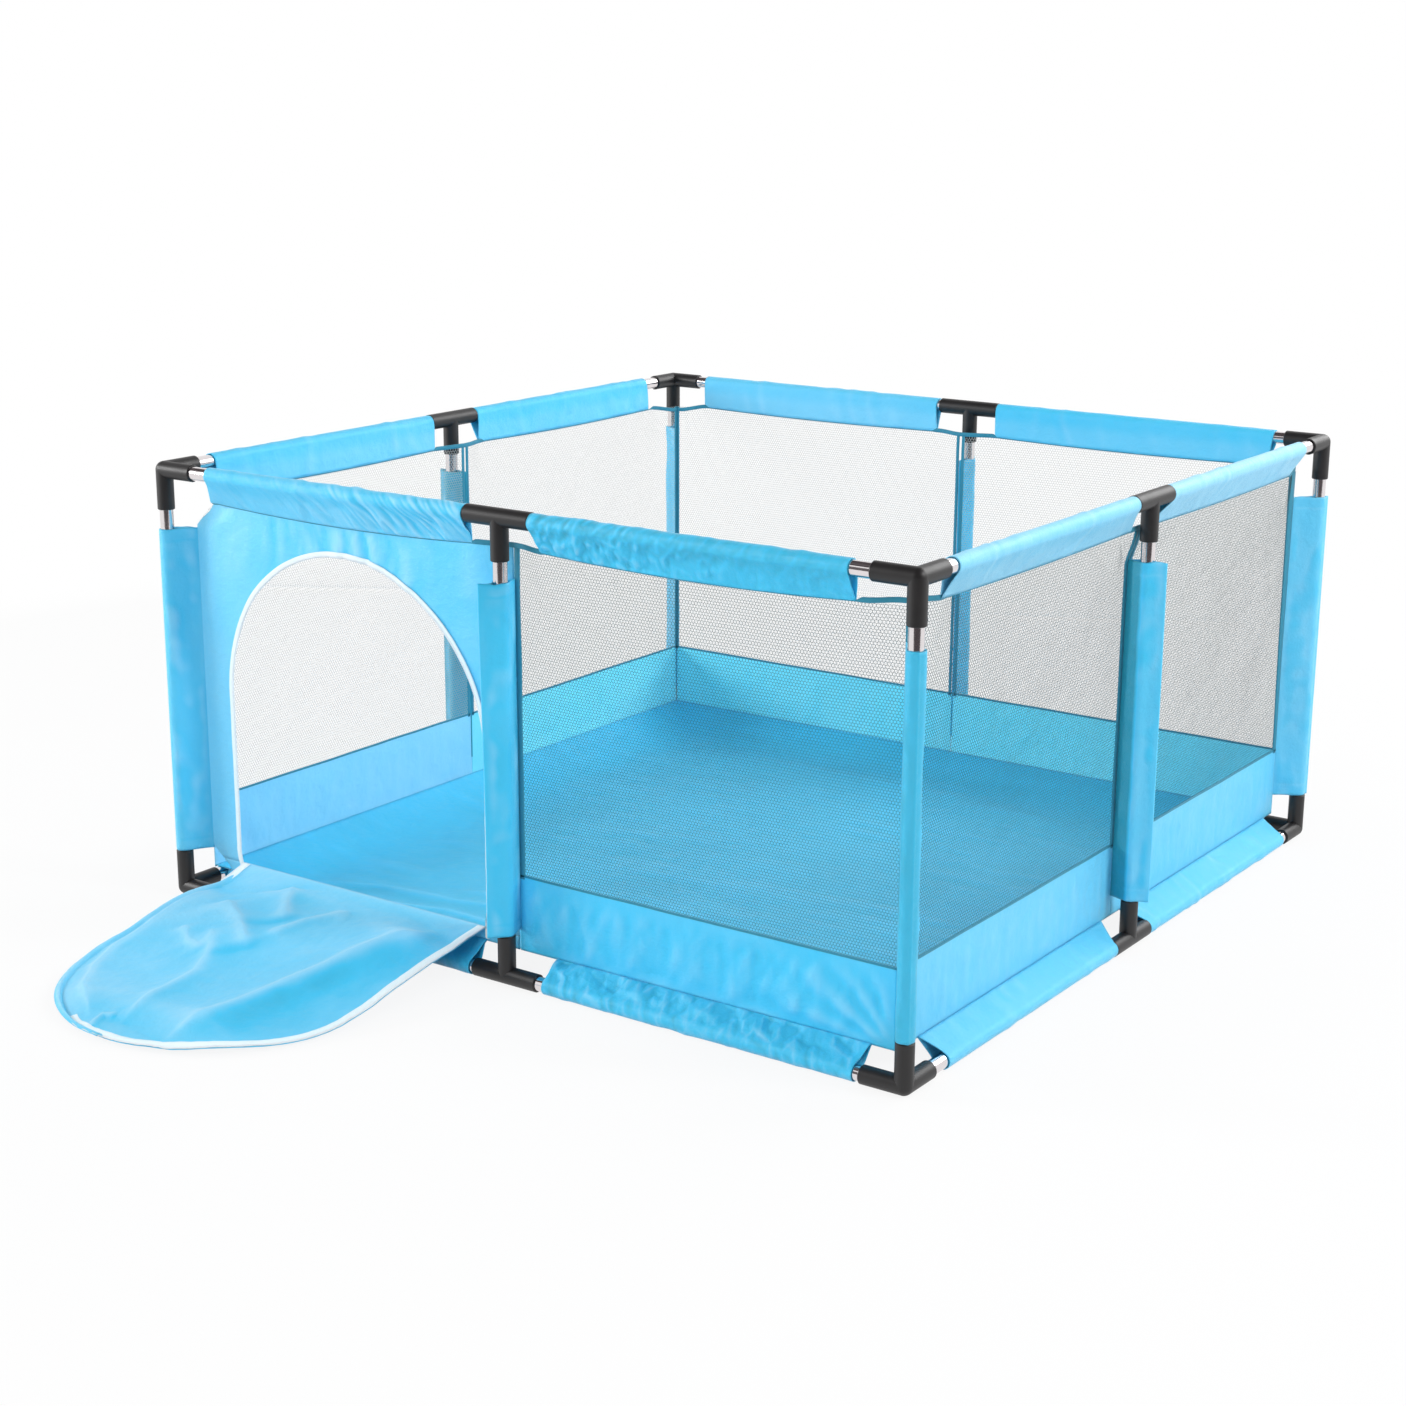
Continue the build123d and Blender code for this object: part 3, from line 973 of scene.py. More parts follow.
def netMesh(places, edges):
    # each knot has its raised middle and a corner between each two threads, and each thread is two long faces
    thread, ridge = netSettings["thread"], netSettings["ridge"]
    reach = thread / math.sqrt(3)
    links = [[] for _ in range(len(places))]
    for a, b in edges.tolist():
        links[a].append(b)
        links[b].append(a)
    verts = [(x, y, ridge) for x, y in places.tolist()]
    faces, corner = [], {}
    for a, others in enumerate(links):
        here = places[a]
        turns = sorted((math.atan2(*(places[b] - here)[::-1]), b) for b in others)
        start, count = len(verts), len(turns)
        if count == 3:
            for i in range(3):
                first, second = turns[i][0], turns[(i + 1) % 3][0]
                middleTurn = (first + (second if second > first else second + 2 * math.pi)) / 2
                verts.append((here[0] + reach * math.cos(middleTurn), here[1] + reach * math.sin(middleTurn), 0))
            for i in range(3):
                corner[a, turns[i][1]] = (start + (i + 2) % 3, start + i)
        else:
            angle = (turns[0][0] + turns[-1][0]) / 2 if count == 2 else turns[0][0] + math.pi / 2
            step = (math.cos(angle) * thread / 2, math.sin(angle) * thread / 2)
            verts += [(here[0] + step[0], here[1] + step[1], 0), (here[0] - step[0], here[1] - step[1], 0)]
            corner[a, turns[0][1]] = (start + 1, start)
            if count == 2:
                corner[a, turns[1][1]] = (start, start + 1)
    for a, b in edges.tolist():
        right, left = corner[a, b]
        backRight, backLeft = corner[b, a]
        faces.append((right, backLeft, b, a))
        faces.append((a, b, backRight, left))
    return np.array(verts), faces


netFlat, netFaces = netMesh(*hexNet(netEnd - netStart + 0.004, seamTop - bandTop + 0.004))


def netPanel(quarter, half):
    s = netSettings
    seed, place = 120 + quarter * 2 + (half > 0), halfName(quarter, half)
    u = netFlat[:, 0] + netStart - s["under"]
    z = netFlat[:, 1] + bandTop - s["under"]
    points = np.stack([u, -wallReach(u, z, sides[quarter]), z], axis=1)
    side = np.minimum(u - netStart, netEnd - u) / s["taut"]
    rise = np.minimum(z - bandTop, seamTop - z) / s["taut"]
    hold = smooth(side) * smooth(rise)
    push = s["billow"][0] * cloud(points, s["billow"][1], seed)
    push = push + s["ripple"][0] * cloud(points * np.array([1, 1, 2.2]), s["ripple"][1], seed + 4)
    if place in s["creases"]:
        start, slope = s["creases"][place]
        high, wide = s["crease"]
        push = push + high * np.exp(-(((z - start - slope * u) / wide) ** 2))
    points[:, 1] -= push * hold
    points[:, 1] -= netFlat[:, 2]
    if place == "left_front":
        points[:, 0] -= notchPull(u, z)
    faces = netFaces
    if half < 0:
        points = points * np.array([-1.0, 1.0, 1.0])
        faces = [f[::-1] for f in netFaces]
    uv = np.stack([u, z], axis=1)
    piece = makeObject(pieceName("net", quarter, half), turned(points, quarter), faces, uv, netThread)
    piece.visible_shadow = False  # the soft light goes through the net
    piece.visible_diffuse = False
    finishCloth(piece, ["net_" + place], "net")


for quarter, half in wallHalves:
    netPanel(quarter, half)
print("walls hung")


# Binding: folded tape along the top of the walls, on the upright edges of the nets and along the band
tapeSettings = {
    "wide": 0.0068,
    "thick": 0.0024,
    "edgeWide": 0.0085,
    "innerWide": 0.0050,
    "midEdge": 0.0050,
    "lineWide": 0.0030,
    "seamWide": 0.0009,
    "seamThick": 0.0034,
    "wobble": 0.0011,
    "teeGap": {"front": 0.066, "right": 0.036, "back": 0.066, "left": 0.066},  # the tape shows this far from the tee
    "fade": 0.012,
    "cornerFrom": 0.532,
    "turn": (0.535, 0.06),  # where the tape starts to climb to a corner, and over what length
    "doorEnd": 0.55,
    "seamDrop": 0.0006,
    "gapLift": 0.0018,
    "startInset": 0.001,  # of the upright tapes at both ends of the net
    "endInset": {"front": 0.001, "right": 0.0065, "back": 0.001, "left": 0.001},
    "flare": 0.0135,  # the far right tape turns flat and shows wider towards the top
    # how far the tape climbs after and before the corners, none at the door
    "rise": {"front": (0.0045, None), "right": (0.0010, 0.0045), "back": (-0.0080, 0.0010), "left": (None, -0.0080)},
}


def wobbly(values, scale, seed):
    return np.array([noise.noise(Vector((v * scale, seed * 1.7, 0.5))) for v in values])


def tapeParts(quarter):
    s, side, parts = tapeSettings, sides[quarter], []

    def add(path, across, face, width, thick):
        across = np.tile(np.array(across, float), (len(path), 1))
        face = np.tile(np.array(face, float), (len(path), 1))
        parts.append(stripMesh(turned(path, quarter), turned(across, quarter), turned(face, quarter), width, thick))

    # along the top: a thin line under the sleeves, the whole tape between them
    after, before = s["rise"][side]
    low = -s["doorEnd"] if before is None else -wallOut
    high = s["doorEnd"] if after is None else wallOut
    u = np.linspace(low, high, 400)
    tee = smooth((s["teeGap"][side] - np.abs(u)) / s["fade"])
    corner = smooth((np.abs(u) - s["cornerFrom"]) / s["fade"])
    gap = np.maximum(tee, corner)
    end = smooth((np.abs(u) - s["turn"][0]) / s["turn"][1]) * np.where(u > 0, after or 0, before or 0)
    z = seamTop - seamSag(u, side) - s["seamDrop"] + s["gapLift"] * gap + end
    z += s["wobble"] * wobbly(u, 24, quarter) * gap
    wide = s["seamWide"] + (s["wide"] - s["seamWide"]) * gap
    thick = s["seamThick"] + (s["thick"] - s["seamThick"]) * gap
    reach = wallReach(u, 0 * u + seamTop, side)
    add(np.stack([u, -reach, z], axis=1), (0, 0, 1), (0, -1, 0), wide, thick)
    # upright edges of the nets, at the posts
    endEdge = netEnd - s["endInset"][side]
    places = (s["midEdge"], -s["midEdge"], endEdge, s["startInset"] - netEnd)
    for place in places[:1] if side == "front" else places:
        cornerTop = pocketTop - 0.004 if side == "left" and place == endEdge else seamTop - 0.002
        z = np.linspace(bandTop - 0.004, cornerTop, 90)
        x = place + s["wobble"] * wobbly(z, 12, quarter + place) * smooth((seamTop - z) / 0.03)
        wide = np.full_like(z, s["edgeWide"] if quarter < 2 else s["innerWide"])
        if side == "right" and place == endEdge:
            wide = s["edgeWide"] + s["flare"] * (z - bandTop) / (seamTop - bandTop)
            x = x - (wide - s["edgeWide"]) / 2
        reach = wallReach(x, z, side)
        add(np.stack([x, -reach, z], axis=1), (1, 0, 0), (0, -1, 0), wide, s["thick"])
    for sign in (1,) if side == "front" else (1, -1):
        u = np.linspace(0.001, wallOut - 0.001, 160) * sign
        z = bandTop + 0.6 * s["wobble"] * wobbly(u, 13, quarter + 20)
        add(np.stack([u, np.full_like(u, -wallOut), z], axis=1), (0, 0, 1), (0, -1, 0), s["lineWide"], s["thick"])
    return parts


edgeBinding = makeObject("edgeBinding", *joined([p for q in range(4) for p in tapeParts(q)]), binding)
dress(edgeBinding, "binding", "playpen", "edge_binding")
print("binding sewn")


# Floor sheet: flat on the ground, rising to the wall seam at its border
floorSettings = {
    "steps": 240,
    "inset": 0.0014,
    "thick": 0.0012,
    "flat": 0.470,
    "lift": 0.043,
    "curve": 1.9,
    "low": 0.0014,
    "fold": 0.0030,
    "broad": 0.0055,
    "facet": (0.16, 2.2, 0.4),  # cell, stretch and slant of the broad crumples
    "ripple": 0.0014,
    # painted shade: the floor inside the pen is deeper overall
    "tone": -0.12,
    "paintedShadeToRight": (0.22, -0.15, 0.5),  # painted shade towards the right side: how much, from where and over what length
    # painted fold shading: highlight on the crests, shade in the hollows
    "worn": (0.5, 0.0022, 10),
    "creases": [  # lines on the floor just inside the door, with their height and width
        ([(-0.52, -0.575), (-0.40, -0.560), (-0.31, -0.535), (-0.22, -0.520), (-0.10, -0.520)], 0.0065, 0.012),
        ([(-0.44, -0.540), (-0.33, -0.510), (-0.24, -0.480), (-0.09, -0.485)], 0.0060, 0.014),
        ([(-0.50, -0.500), (-0.38, -0.450), (-0.26, -0.440), (-0.12, -0.400)], 0.0050, 0.018),
        ([(-0.30, -0.400), (-0.10, -0.330), (0.10, -0.300)], 0.0045, 0.022),
    ],
}


def floorSheet():
    s = floorSettings
    edge = wallOut - s["inset"]
    line = np.linspace(-edge, edge, s["steps"])
    x, y = np.meshgrid(line, line, indexing="ij")
    out = np.maximum(np.abs(x), np.abs(y))
    points = np.stack([x, y, np.zeros_like(x)], axis=2)
    rise = np.clip((out - s["flat"]) / (edge - s["flat"]), 0, 1)
    slow = cloud(points * np.array([1.0, 0.35, 1]), 7.0, 201, 2)
    folds = np.maximum(cloud(points * np.array([0.5, 1.6, 1]), 6.0, 205, 3), 0)
    cell, stretch, slant = s["facet"]
    broad = crumple(y, x, cell, 207, stretch, slant) + 0.5
    rest = s["low"] + s["fold"] * (0.3 + 0.3 * slow + folds) + s["broad"] * broad
    lines = np.zeros_like(x)
    for line, height, wide in s["creases"]:
        d, place, _ = nearLine(x, y, line)
        lines += height * np.exp(-((d / wide) ** 1.2)) * smooth(np.minimum(place, 1 - place) * 5)
    ripple = s["ripple"] * slow * np.sin(math.pi * rise)
    height = rest * (1 - rise) + lines + s["lift"] * rise ** s["curve"] + ripple
    points[:, :, 2] = np.maximum(height, s["thick"])
    paintedShadeToRight, start, length = s["paintedShadeToRight"]
    # painted shade of the floor, deeper to the right, with painted fold shading
    tone = s["tone"] - paintedShadeToRight * smooth((x - start) / length) + s["worn"][0] * paintedFoldShading(rest + lines, *s["worn"][1:])
    piece = clothPiece("floorSheet", points, oxford, s["thick"], tone)
    finishCloth(piece, ["floor_mat", "floor_rim"], "blue_fabric")


floorSheet()
print("floor laid")


# Door: the arch, its panel, both zip tapes and the flap, drawn from the same outline
tapeLow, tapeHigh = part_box("zip_panel_tape")
cadTape = 0.0085
doorSettings = {
    "centre": (tapeLow[0] + tapeHigh[0]) / 2,
    "radius": (tapeHigh[0] - tapeLow[0]) / 2 - cadTape,
    "gap": 0.0012,
    "tape": 0.0078,
    "tapeThick": 0.0012,
    "coil": 0.0011,
    "toothPitch": 0.0021,
    "sill": hingeZ - 0.0008,
    "tall": (0.0042, 0.020, 4.5, 0.12),  # folds over the arch: height, cell, stretch and slant
    "tallFrom": (0.16, 0.06, 0.12),  # where they start over the spring of the arch, how they come in, and spread
    "slow": (0.0022, 6.0),
    "facet": (0.0016, 0.09, 1.5),
    "legWide": 0.026,  # flat cloth beside the slider's way
    "footPull": 0.040,  # the lower left corner is drawn in
    # painted light: the panel is paler towards its left side and its top
    "leftPale": 0.25,
    "topPaintedLight": 0.03,
    # painted fold shading: highlight on the crests, shade in the hollows
    "worn": (0.6, 0.0012),
}
doorSettings["spring"] = tapeHigh[2] - doorSettings["radius"] - cadTape


def archLine(radius, foot, legSteps, arcSteps):
    # places along the arch from the left foot to the right foot, and the outward direction at each
    s = doorSettings
    left = np.linspace(foot, s["spring"], legSteps, endpoint=False)
    right = np.linspace(s["spring"], foot, legSteps + 1)[1:]
    turn = np.linspace(math.pi, 0, arcSteps)
    arc = np.stack([np.cos(turn), np.sin(turn)], axis=1)
    outs = np.concatenate([np.tile([-1.0, 0.0], (len(left), 1)), arc, np.tile([1.0, 0.0], (len(right), 1))])
    z = np.concatenate([left, s["spring"] + radius * arc[:, 1], right])
    return np.stack([s["centre"] + radius * outs[:, 0], z], axis=1), outs


def panelPush(x, z):
    # short upright folds between the arch and the seam, slow waves on the rest, nothing at the sewn edges
    s = doorSettings
    places = np.stack([x, 0 * x, z], axis=-1)
    start, fade, spread = s["tallFrom"]
    above = smooth((z - (s["spring"] + start)) / fade) * np.exp(-(((x - s["centre"]) / spread) ** 2))
    high, cell, stretch, slant = s["tall"]
    tall = 2 * high * above * crumple(x, z, cell, 231, stretch, slant)
    slow = s["slow"][0] * cloud(places, s["slow"][1], 233, 2)
    facet = s["facet"][0] * crumple(x, z, s["facet"][1], 235, s["facet"][2])
    hold = smooth(np.minimum(x + wallOut, -x) / 0.03) * smooth((seamTop - z) / 0.02) * smooth((z - wallLow) / 0.03)
    return (tall + slow + facet) * hold


def zipLeg(x, z):
    # 1 along the right leg of the arch, where the slider runs on flat cloth
    s = doorSettings
    beside = (x - s["centre"] - s["radius"]) / s["legWide"]
    return np.exp(-(beside**4)) * (1 - smooth((z - s["spring"]) / 0.06))


def panelPlace(x, z):
    low = smooth((pocketLow + 0.012 - z) / 0.045) * smooth((-x - 0.52) / 0.07)
    pull = notchPull(-x, z) + doorSettings["footPull"] * low
    out = (wallReach(x, z) - wallOut + panelPush(x, z)) * (1 - zipLeg(x, z))
    return np.stack([x + pull, -wallOut - out, z], axis=-1)


def doorPanel():
    s = doorSettings
    inner, outs = archLine(s["radius"] + s["gap"] + 0.002, s["sill"], 46, 150)
    left, right, top = -wallOut - 0.0004, -0.0012, seamTop + 0.001
    centre = np.array([s["centre"], s["spring"]])
    outer = []
    for p, o in zip(inner, outs):
        side = left if o[0] < 0 else right
        if p[1] <= s["spring"]:
            outer.append((side, p[1]))
            continue
        reach = [(top - centre[1]) / o[1]] if o[1] > 1e-6 else []
        if abs(o[0]) > 1e-6:
            reach.append((side - centre[0]) / o[0])
        outer.append(tuple(centre + o * min(reach)))
    outer = np.array(outer)
    for cornerPoint in ((left, top), (right, top)):
        nearest = np.argmin(np.linalg.norm(outer - np.array(cornerPoint), axis=1))
        outer[nearest] = cornerPoint
    share = np.linspace(0, 1, 44)[None, :, None]
    ring = inner[:, None, :] * (1 - share) + outer[:, None, :] * share
    sillGrid = np.meshgrid(np.linspace(left, right, 160), np.linspace(wallLow, s["sill"], 8), indexing="ij")
    parts, tones = [], []
    for x, z in ((ring[:, :, 0], ring[:, :, 1]), sillGrid):
        parts.append(clothMesh(panelPlace(x, z), clothThick))
        # painted light, paler towards the left side and the top
        pale = s["leftPale"] * smooth((-x - 0.42) / 0.1) + s["topPaintedLight"] * smooth((z - 0.48) / 0.08)
        tone = (doorPaintedLight + pale + s["worn"][0] * paintedFoldShading(panelPush(x, z), s["worn"][1])).ravel()
        tones += [tone, tone]
    piece = makeObject("doorPanel", *joined(parts), oxford, np.concatenate(tones))
    finishCloth(piece, ["door_panel"], "blue_fabric")


doorPanel()


def coilParts(path, across, face, pitch, size):
    # a row of small bent teeth along the edge of a tape
    length = wayAlong(path)
    count = int(length[-1] / pitch)
    places = (np.arange(count) + 0.5) * length[-1] / count
    centre, side, up = (
        np.stack([np.interp(places, length, line[:, i]) for i in range(3)], axis=1) for line in (path, across, face)
    )
    run = unit(np.cross(side, up))
    ring = [(-1.0, -0.7), (-1.0, 0.7), (0.2, 1.0), (1.0, 0.55), (1.0, -0.55), (0.2, -1.0)]
    thin, m = pitch * 0.32, len(ring)
    verts, faces = [], []
    for i in range(count):
        base = len(verts)
        for end in (-thin, thin):
            verts += [centre[i] + side[i] * a * size * 1.5 + up[i] * b * size + run[i] * end for a, b in ring]
        faces.append(tuple(base + j for j in range(m - 1, -1, -1)))
        faces.append(tuple(base + m + j for j in range(m)))
        faces += [(base + j, base + (j + 1) % m, base + m + (j + 1) % m, base + m + j) for j in range(m)]
    return np.array(verts), faces, np.zeros((len(verts), 2))


def panelZip():
    s = doorSettings
    line, outs = archLine(s["radius"] + s["gap"] + s["tape"] / 2, s["sill"] - 0.004, 60, 160)
    path = panelPlace(line[:, 0], line[:, 1])
    path[:, 1] -= 0.0018 + 0.0010 * np.abs(wobbly(np.arange(len(path)), 0.09, 4))
    across = np.stack([outs[:, 0], 0 * outs[:, 0], outs[:, 1]], axis=1)
    face = np.tile([0, -1.0, 0], (len(path), 1))
    tape = makeObject("zipTapePanel", *stripMesh(path, across, face, s["tape"], s["tapeThick"]), zipTape)
    dress(tape, "zip_tape", "playpen", "zip_panel_tape")
    edge = path - across * (s["tape"] / 2 - s["coil"])
    coil = makeObject("zipCoilPanel", *coilParts(edge, across, face, s["toothPitch"], s["coil"]), zipCoil)
    dress(coil, "zip_tape", "playpen")


panelZip()


# Flap: cut to the arch, hinged at the sill, lying over the skirt and out on the ground
flapSettings = {
    "across": 170,
    "inset": 0.0020,
    "fallOut": (0, 0.05, 0.115, 0.175, 0.235, 0.29, 0.34, 0.6),  # way out from the hinge
    "fallDown": (0, 0.011, 0.021, 0.031, 0.046, 0.053, 0.0565, 0.0585),  # and how far down the cloth lies there
    "least": 0.0012,
    "wave": (0.0040, 8.0),
    "fine": (0.0007, 24.0),
    "roll": (0.016, 0.005),  # width and height of the left edge, which is turned under
    # painted light: the flap is paler overall
    "pale": 0.1,
    # painted fold shading: highlight on the crests, shade in the hollows
    "worn": (0.75, 0.0030, 40),
    "rollShade": 0.5,
    "slopeShade": 0.45,
    # painted light, paler towards the left edge
    "leftPale": 0.35,
    "keep": 0.10,
    "tape": 0.0125,
    "tapeLift": 0.0018,
    "tuck": (0.010, 0.0042),  # the tape goes in and down where the edge is turned under
    "ridge": (1.3, 1.02),  # scale of the ridges' heights, and how sharp they are
    "waist": (0.014, -0.660, 0.050),  # the left edge is drawn in by this much, near this place
    "taut": (0.75, 0.034),  # folds are pulled out this far along the right edge
    "ridges": [  # line on the ground from its outer end, height, and width on its left and right side
        ([(-0.214, -1.060), (-0.197, -0.963), (-0.186, -0.889), (-0.163, -0.813), (-0.142, -0.744), (-0.110, -0.645)],
         0.0230, 0.085, 0.042),
        ([(-0.304, -1.047), (-0.320, -0.980), (-0.328, -0.892), (-0.361, -0.832), (-0.412, -0.781)],
         0.0100, 0.030, 0.040),
        ([(-0.455, -0.795), (-0.412, -0.826), (-0.372, -0.838)], 0.0046, 0.014, 0.014),
        ([(-0.317, -0.806), (-0.391, -0.749), (-0.456, -0.712)], 0.0090, 0.036, 0.018),
        ([(-0.328, -0.720), (-0.364, -0.680), (-0.394, -0.632)], 0.0090, 0.038, 0.018),
        ([(-0.262, -0.655), (-0.300, -0.705), (-0.322, -0.770)], 0.0050, 0.016, 0.014),
        ([(-0.329, -1.076), (-0.341, -1.044), (-0.323, -1.035)], 0.0050, 0.008, 0.008),
        ([(-0.350, -1.055), (-0.425, -1.005), (-0.470, -0.945), (-0.497, -0.885), (-0.505, -0.800), (-0.503, -0.680)],
         0.0130, 0.022, 0.060),
    ],
}


def flapHeight(x, y):
    # how high the cloth lies at a place in front of the hinge
    s = flapSettings
    out = np.maximum(hingeY - y, 0)
    table = np.linspace(0, 0.6, 601)
    fall = np.interp(table, s["fallOut"], s["fallDown"])
    fall[20:-20] = np.convolve(fall, np.ones(41) / 41, "valid")
    base = hingeZ - np.interp(out, table, fall)
    lay = smooth(out / 0.05)
    total = np.zeros_like(base)
    for line, height, leftWide, rightWide in s["ridges"]:
        d, place, turn = nearLine(x, y, line)
        wide = np.where(turn > 0, leftWide, rightWide)
        ends = smooth(np.minimum(place, 1 - place) * 5 + 0.2)
        total += s["ridge"][0] * height * np.exp(-((d / wide) ** s["ridge"][1])) * ends
    edge = doorSettings["centre"] + doorSettings["radius"] - x
    total *= 1 - s["taut"][0] * np.exp(-((edge / s["taut"][1]) ** 2))
    places = np.stack([x, y, 0 * x], axis=-1)
    total += s["wave"][0] * (0.5 + 0.5 * cloud(places, s["wave"][1], 301, 2))
    total += s["fine"][0] * np.abs(cloud(places, s["fine"][1], 305, 3))
    return np.maximum(base + total * lay, s["least"])


def flapOutline(radius, foot, legSteps, arcSteps):
    line, outs = archLine(radius, foot, legSteps, arcSteps)
    y = hingeY - (line[:, 1] - hingeZ)
    pull, middleY, wide = flapSettings["waist"]
    left = smooth((doorSettings["centre"] - line[:, 0]) / doorSettings["radius"] * 2 - 1)
    x = line[:, 0] + pull * np.exp(-(((y - middleY) / wide) ** 2)) * left
    return x, y, np.stack([outs[:, 0], -outs[:, 1]], axis=1)


def finishFlap(piece, slot, *nodes):
    # hangs the piece on the door body, hides the CAD nodes it replaces and gives it a mesh of its own; the way from
    # the hinge to the CAD flap's tip is worked out but not used
    centre, tip = doorSettings["centre"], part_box("zip_flap_tape")[0]
    root = np.array([centre, hingeY, hingeZ])
    run = np.array([centre, tip[1], tip[2]]) - root
    run = run / np.linalg.norm(run)
    dress(piece, slot, "door", *nodes)
    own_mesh(piece)


def doorFlap():
    s, d = flapSettings, doorSettings
    radius = d["radius"] - s["inset"]
    x, y, _ = flapOutline(radius, hingeZ, 60, 181)
    half = len(x) // 2
    share = np.linspace(0, 1, s["across"])[None, :]
    leftX, leftY = x[:half, None], y[:half, None]
    gx = leftX * (1 - share) + x[::-1][:half, None] * share
    gy = leftY * (1 - share) + y[::-1][:half, None] * share
    roll = np.clip(1 - (gx - leftX) / s["roll"][0], 0, 1)
    gz = flapHeight(gx, gy) + s["roll"][1] * np.sin(math.pi * roll) * smooth((hingeY - gy) / 0.1)
    slope = np.gradient(gz, axis=1) / np.maximum(np.gradient(gx, axis=1), 1e-5)
    shade = smooth(blurred(-slope, 6) / 0.45)
    # painted light on the flap, with painted fold shading
    tone = doorPaintedLight + s["pale"] + s["worn"][0] * paintedFoldShading(gz, *s["worn"][1:])
    tone = tone - s["rollShade"] * smooth(roll * 2) - s["slopeShade"] * shade
    # painted light, paler towards the left edge
    tone = tone + s["leftPale"] * np.clip(1 - 2.2 * share, 0, 1)
    piece = clothPiece("doorFlap", np.stack([gx, gy, gz], axis=2)[:, ::-1], oxford, tone=tone[:, ::-1])
    finishFlap(piece, "blue_fabric", "door_flap")


def flapZip():
    s, d = flapSettings, doorSettings
    x, y, outs = flapOutline(d["radius"] - s["inset"] - s["tape"] / 2, hingeZ + 0.004, 90, 220)
    tuck = smooth((-outs[:, 0] - 0.22) / 0.3) * smooth((hingeY - 0.05 - y) / 0.05)  # turned under on the left
    x = x - outs[:, 0] * s["tuck"][0] * tuck
    y = y - outs[:, 1] * s["tuck"][0] * tuck

    def height(x, y):
        return np.maximum(flapHeight(x, y) + s["tapeLift"] - s["tuck"][1] * tuck, 0.0010)

    path = np.stack([x, y, height(x, y)], axis=1)
    inner = path - np.stack([outs[:, 0], outs[:, 1], 0 * x], axis=1) * 0.004
    inner[:, 2] = height(inner[:, 0], inner[:, 1])
    across = unit(path - inner)
    face = unit(np.cross(across, np.gradient(path, axis=0)))
    face *= np.sign(face[:, 2:3])
    tape = makeObject("zipTapeFlap", *stripMesh(path, across, face, s["tape"], d["tapeThick"]), zipTape)
    finishFlap(tape, "zip_tape", "zip_flap_tape")
    edge = path + across * (s["tape"] / 2 - d["coil"])
    coil = makeObject("zipCoilFlap", *coilParts(edge, across, face, d["toothPitch"], d["coil"]), zipCoil)
    finishFlap(coil, "zip_tape")


doorFlap()
flapZip()
print("door and zip done")


# Studio: pale floor that goes over to white, soft lamps, a dark card for the chrome, and the photograph's viewpoint
studioSettings = {
    "floorTone": (0.75, 0.75, 0.755),
    "floorSize": 60.0,
    "floorGlow": 0.89,
    "whiteFrom": (1.2, 2.6),
    "worldLevel": 0.50,
    "lamps": [
        ("backKey", (2.0, 4.2, 3.0), (4.4, 2.4), 150.0),
        ("rightKey", (5.2, 0.6, 3.6), (1.8, 1.8), 178.0),
        ("leftRake", (-4.2, -2.8, 1.8), (1.6, 1.6), 132.0),
        ("frontFill", (1.0, -5.4, 2.2), (2.2, 2.2), 92.0),
    ],
    "cardPlace": (1.60, -2.00, 1.6),
    "cardSize": (12.0, 3.2),
    "roofPlace": (-0.6, -0.9, 4.4),
    "roofSize": (9.0, 7.0),
    "cardTone": (0.045, 0.032, 0.036),
}
cameraSettings = {
    "place": (1.98078, -2.98464, 1.22490),
    "azimuth": 35.0863,
    "elevation": 15.0726,
    "roll": 0.0044,
    "focalPixels": 2396.16,
    "framePixels": 1406,
    "sensor": 36.0,
}


def seenDirectly(tree):
    path = addNode(tree, "ShaderNodeLightPath", {})
    first = mathNode(tree, "MAXIMUM", path["Is Camera Ray"], path["Is Transmission Ray"])
    return mathNode(tree, "MAXIMUM", first, path["Is Glossy Ray"])


def stagePlane(name, size, place, material):
    bpy.ops.mesh.primitive_plane_add(size=1)
    plane = bpy.context.object
    plane.name = name
    plane.scale = (size[0], size[1], 1)
    plane.location = place
    plane.data.materials.append(material)
    return plane


def studioFloor():
    s = studioSettings
    material, tree, shader = newMaterial("paleFloor")
    place = addNode(tree, "ShaderNodeNewGeometry", {})["Position"]
    length = addNode(tree, "ShaderNodeVectorMath", {0: place}, operation="LENGTH")["Value"]
    values = {"Value": length, "From Min": s["whiteFrom"][0], "From Max": s["whiteFrom"][1]}
    far = addNode(tree, "ShaderNodeMapRange", values, interpolation_type="SMOOTHSTEP")["Result"]
    near = mathNode(tree, "MAXIMUM", far, s["floorGlow"])
    glow = mathNode(tree, "MULTIPLY", near, seenDirectly(tree))
    finish = {
        "Base Color": mixColour(tree, glow, (*s["floorTone"], 1), (0, 0, 0, 1)),
        "Emission Color": (1, 1, 1, 1),
        "Emission Strength": glow,
        "Roughness": 0.9,
        "Specular IOR Level": 0.0,
    }
    plug(tree, shader, finish)
    stagePlane("studioFloor", (s["floorSize"], s["floorSize"]), (0, 0, -0.0005), material)


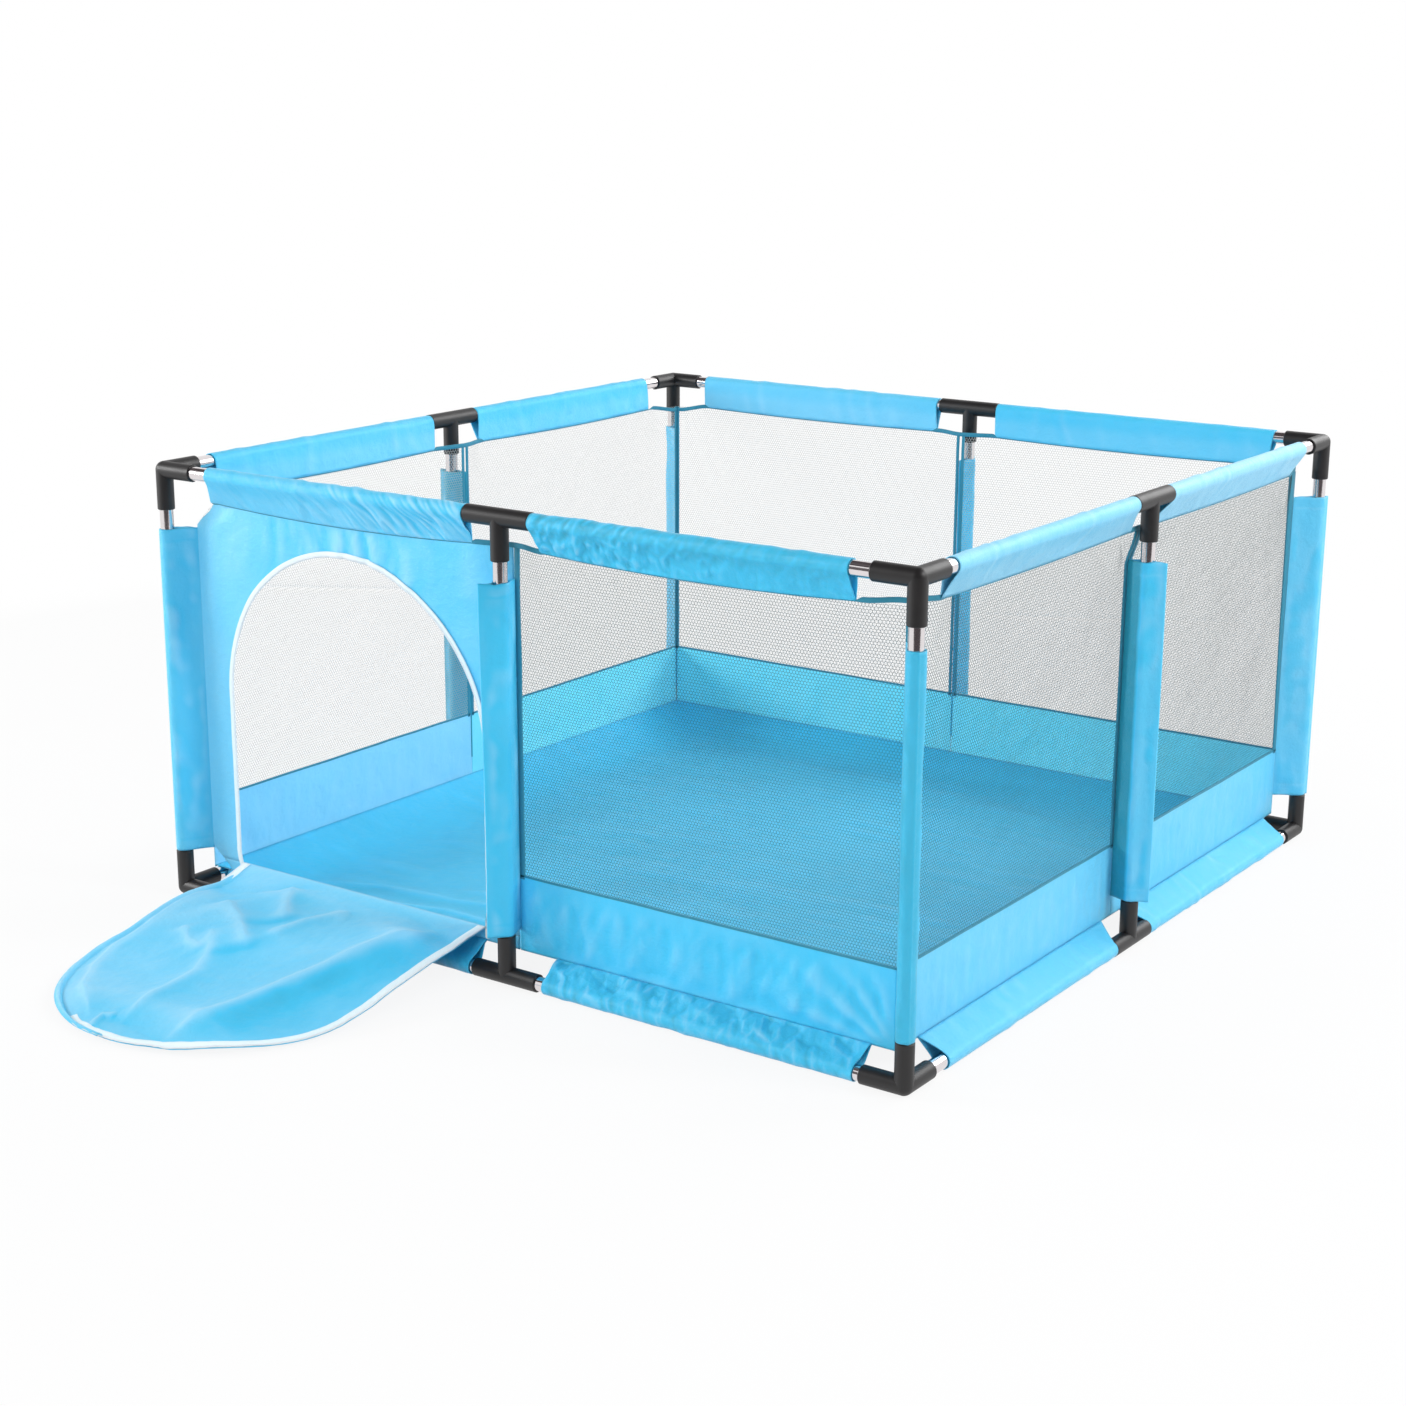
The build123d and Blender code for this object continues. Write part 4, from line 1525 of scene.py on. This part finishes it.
def studioCards():
    # dark cards that only the reflections see: one upright before the pen, one overhead
    s = studioSettings
    material, tree, shader = newMaterial("darkCard")
    finish = {"Base Color": (0, 0, 0, 1), "Emission Color": (*s["cardTone"], 1), "Emission Strength": 1.0}
    plug(tree, shader, finish)
    front = stagePlane("frontCard", s["cardSize"], s["cardPlace"], material)
    aim = Vector((-s["cardPlace"][0], -s["cardPlace"][1], 0))
    front.rotation_euler = aim.to_track_quat("-Z", "Y").to_euler()
    for card in (front, stagePlane("roofCard", s["roofSize"], s["roofPlace"], material)):
        card.visible_camera = card.visible_diffuse = False
        card.visible_shadow = card.visible_transmission = False


def studioWorld():
    world = bpy.data.worlds.new("studioWorld")
    bpy.context.scene.world = world
    world.use_nodes = True
    tree = world.node_tree
    levels = {"Factor": seenDirectly(tree), 2: studioSettings["worldLevel"], 3: 1.0}
    finish = {"Strength": addNode(tree, "ShaderNodeMix", levels)[0], "Color": (1, 1, 1, 1)}
    plug(tree, tree.nodes["Background"].inputs, finish)


def studioLamps():
    for name, place, size, power in studioSettings["lamps"]:
        lamp = bpy.data.lights.new(name, "AREA")
        lamp.shape = "RECTANGLE"
        lamp.size, lamp.size_y = size
        lamp.energy = power
        holder = bpy.data.objects.new(name, lamp)
        holder.visible_glossy = name != "frontFill"
        holder.location = place
        aim = Vector((0, 0, 0.3)) - Vector(place)
        holder.rotation_euler = aim.to_track_quat("-Z", "Y").to_euler()
        bpy.context.scene.collection.objects.link(holder)


def photoCamera():
    s = cameraSettings
    a, e = math.radians(s["azimuth"]), math.radians(s["elevation"])
    back = Vector((math.sin(a) * math.cos(e), -math.cos(a) * math.cos(e), math.sin(e)))
    right = Vector((math.cos(a), math.sin(a), 0))
    up = back.cross(right)
    c, r = math.cos(s["roll"]), math.sin(s["roll"])
    right, up = right * c + up * r, up * c - right * r
    data = bpy.data.cameras.new("photoCamera")
    data.sensor_fit = "HORIZONTAL"
    data.sensor_width = s["sensor"]
    data.lens = s["sensor"] * s["focalPixels"] / s["framePixels"]
    camera = bpy.data.objects.new("photoCamera", data)
    turn = Matrix((right, up, back)).transposed().to_4x4()
    camera.matrix_world = Matrix.Translation(s["place"]) @ turn
    bpy.context.scene.collection.objects.link(camera)
    bpy.context.scene.camera = camera


studioFloor()
studioCards()
studioWorld()
studioLamps()
photoCamera()
bpy.context.scene.view_settings.view_transform = "Standard"
print("studio set")
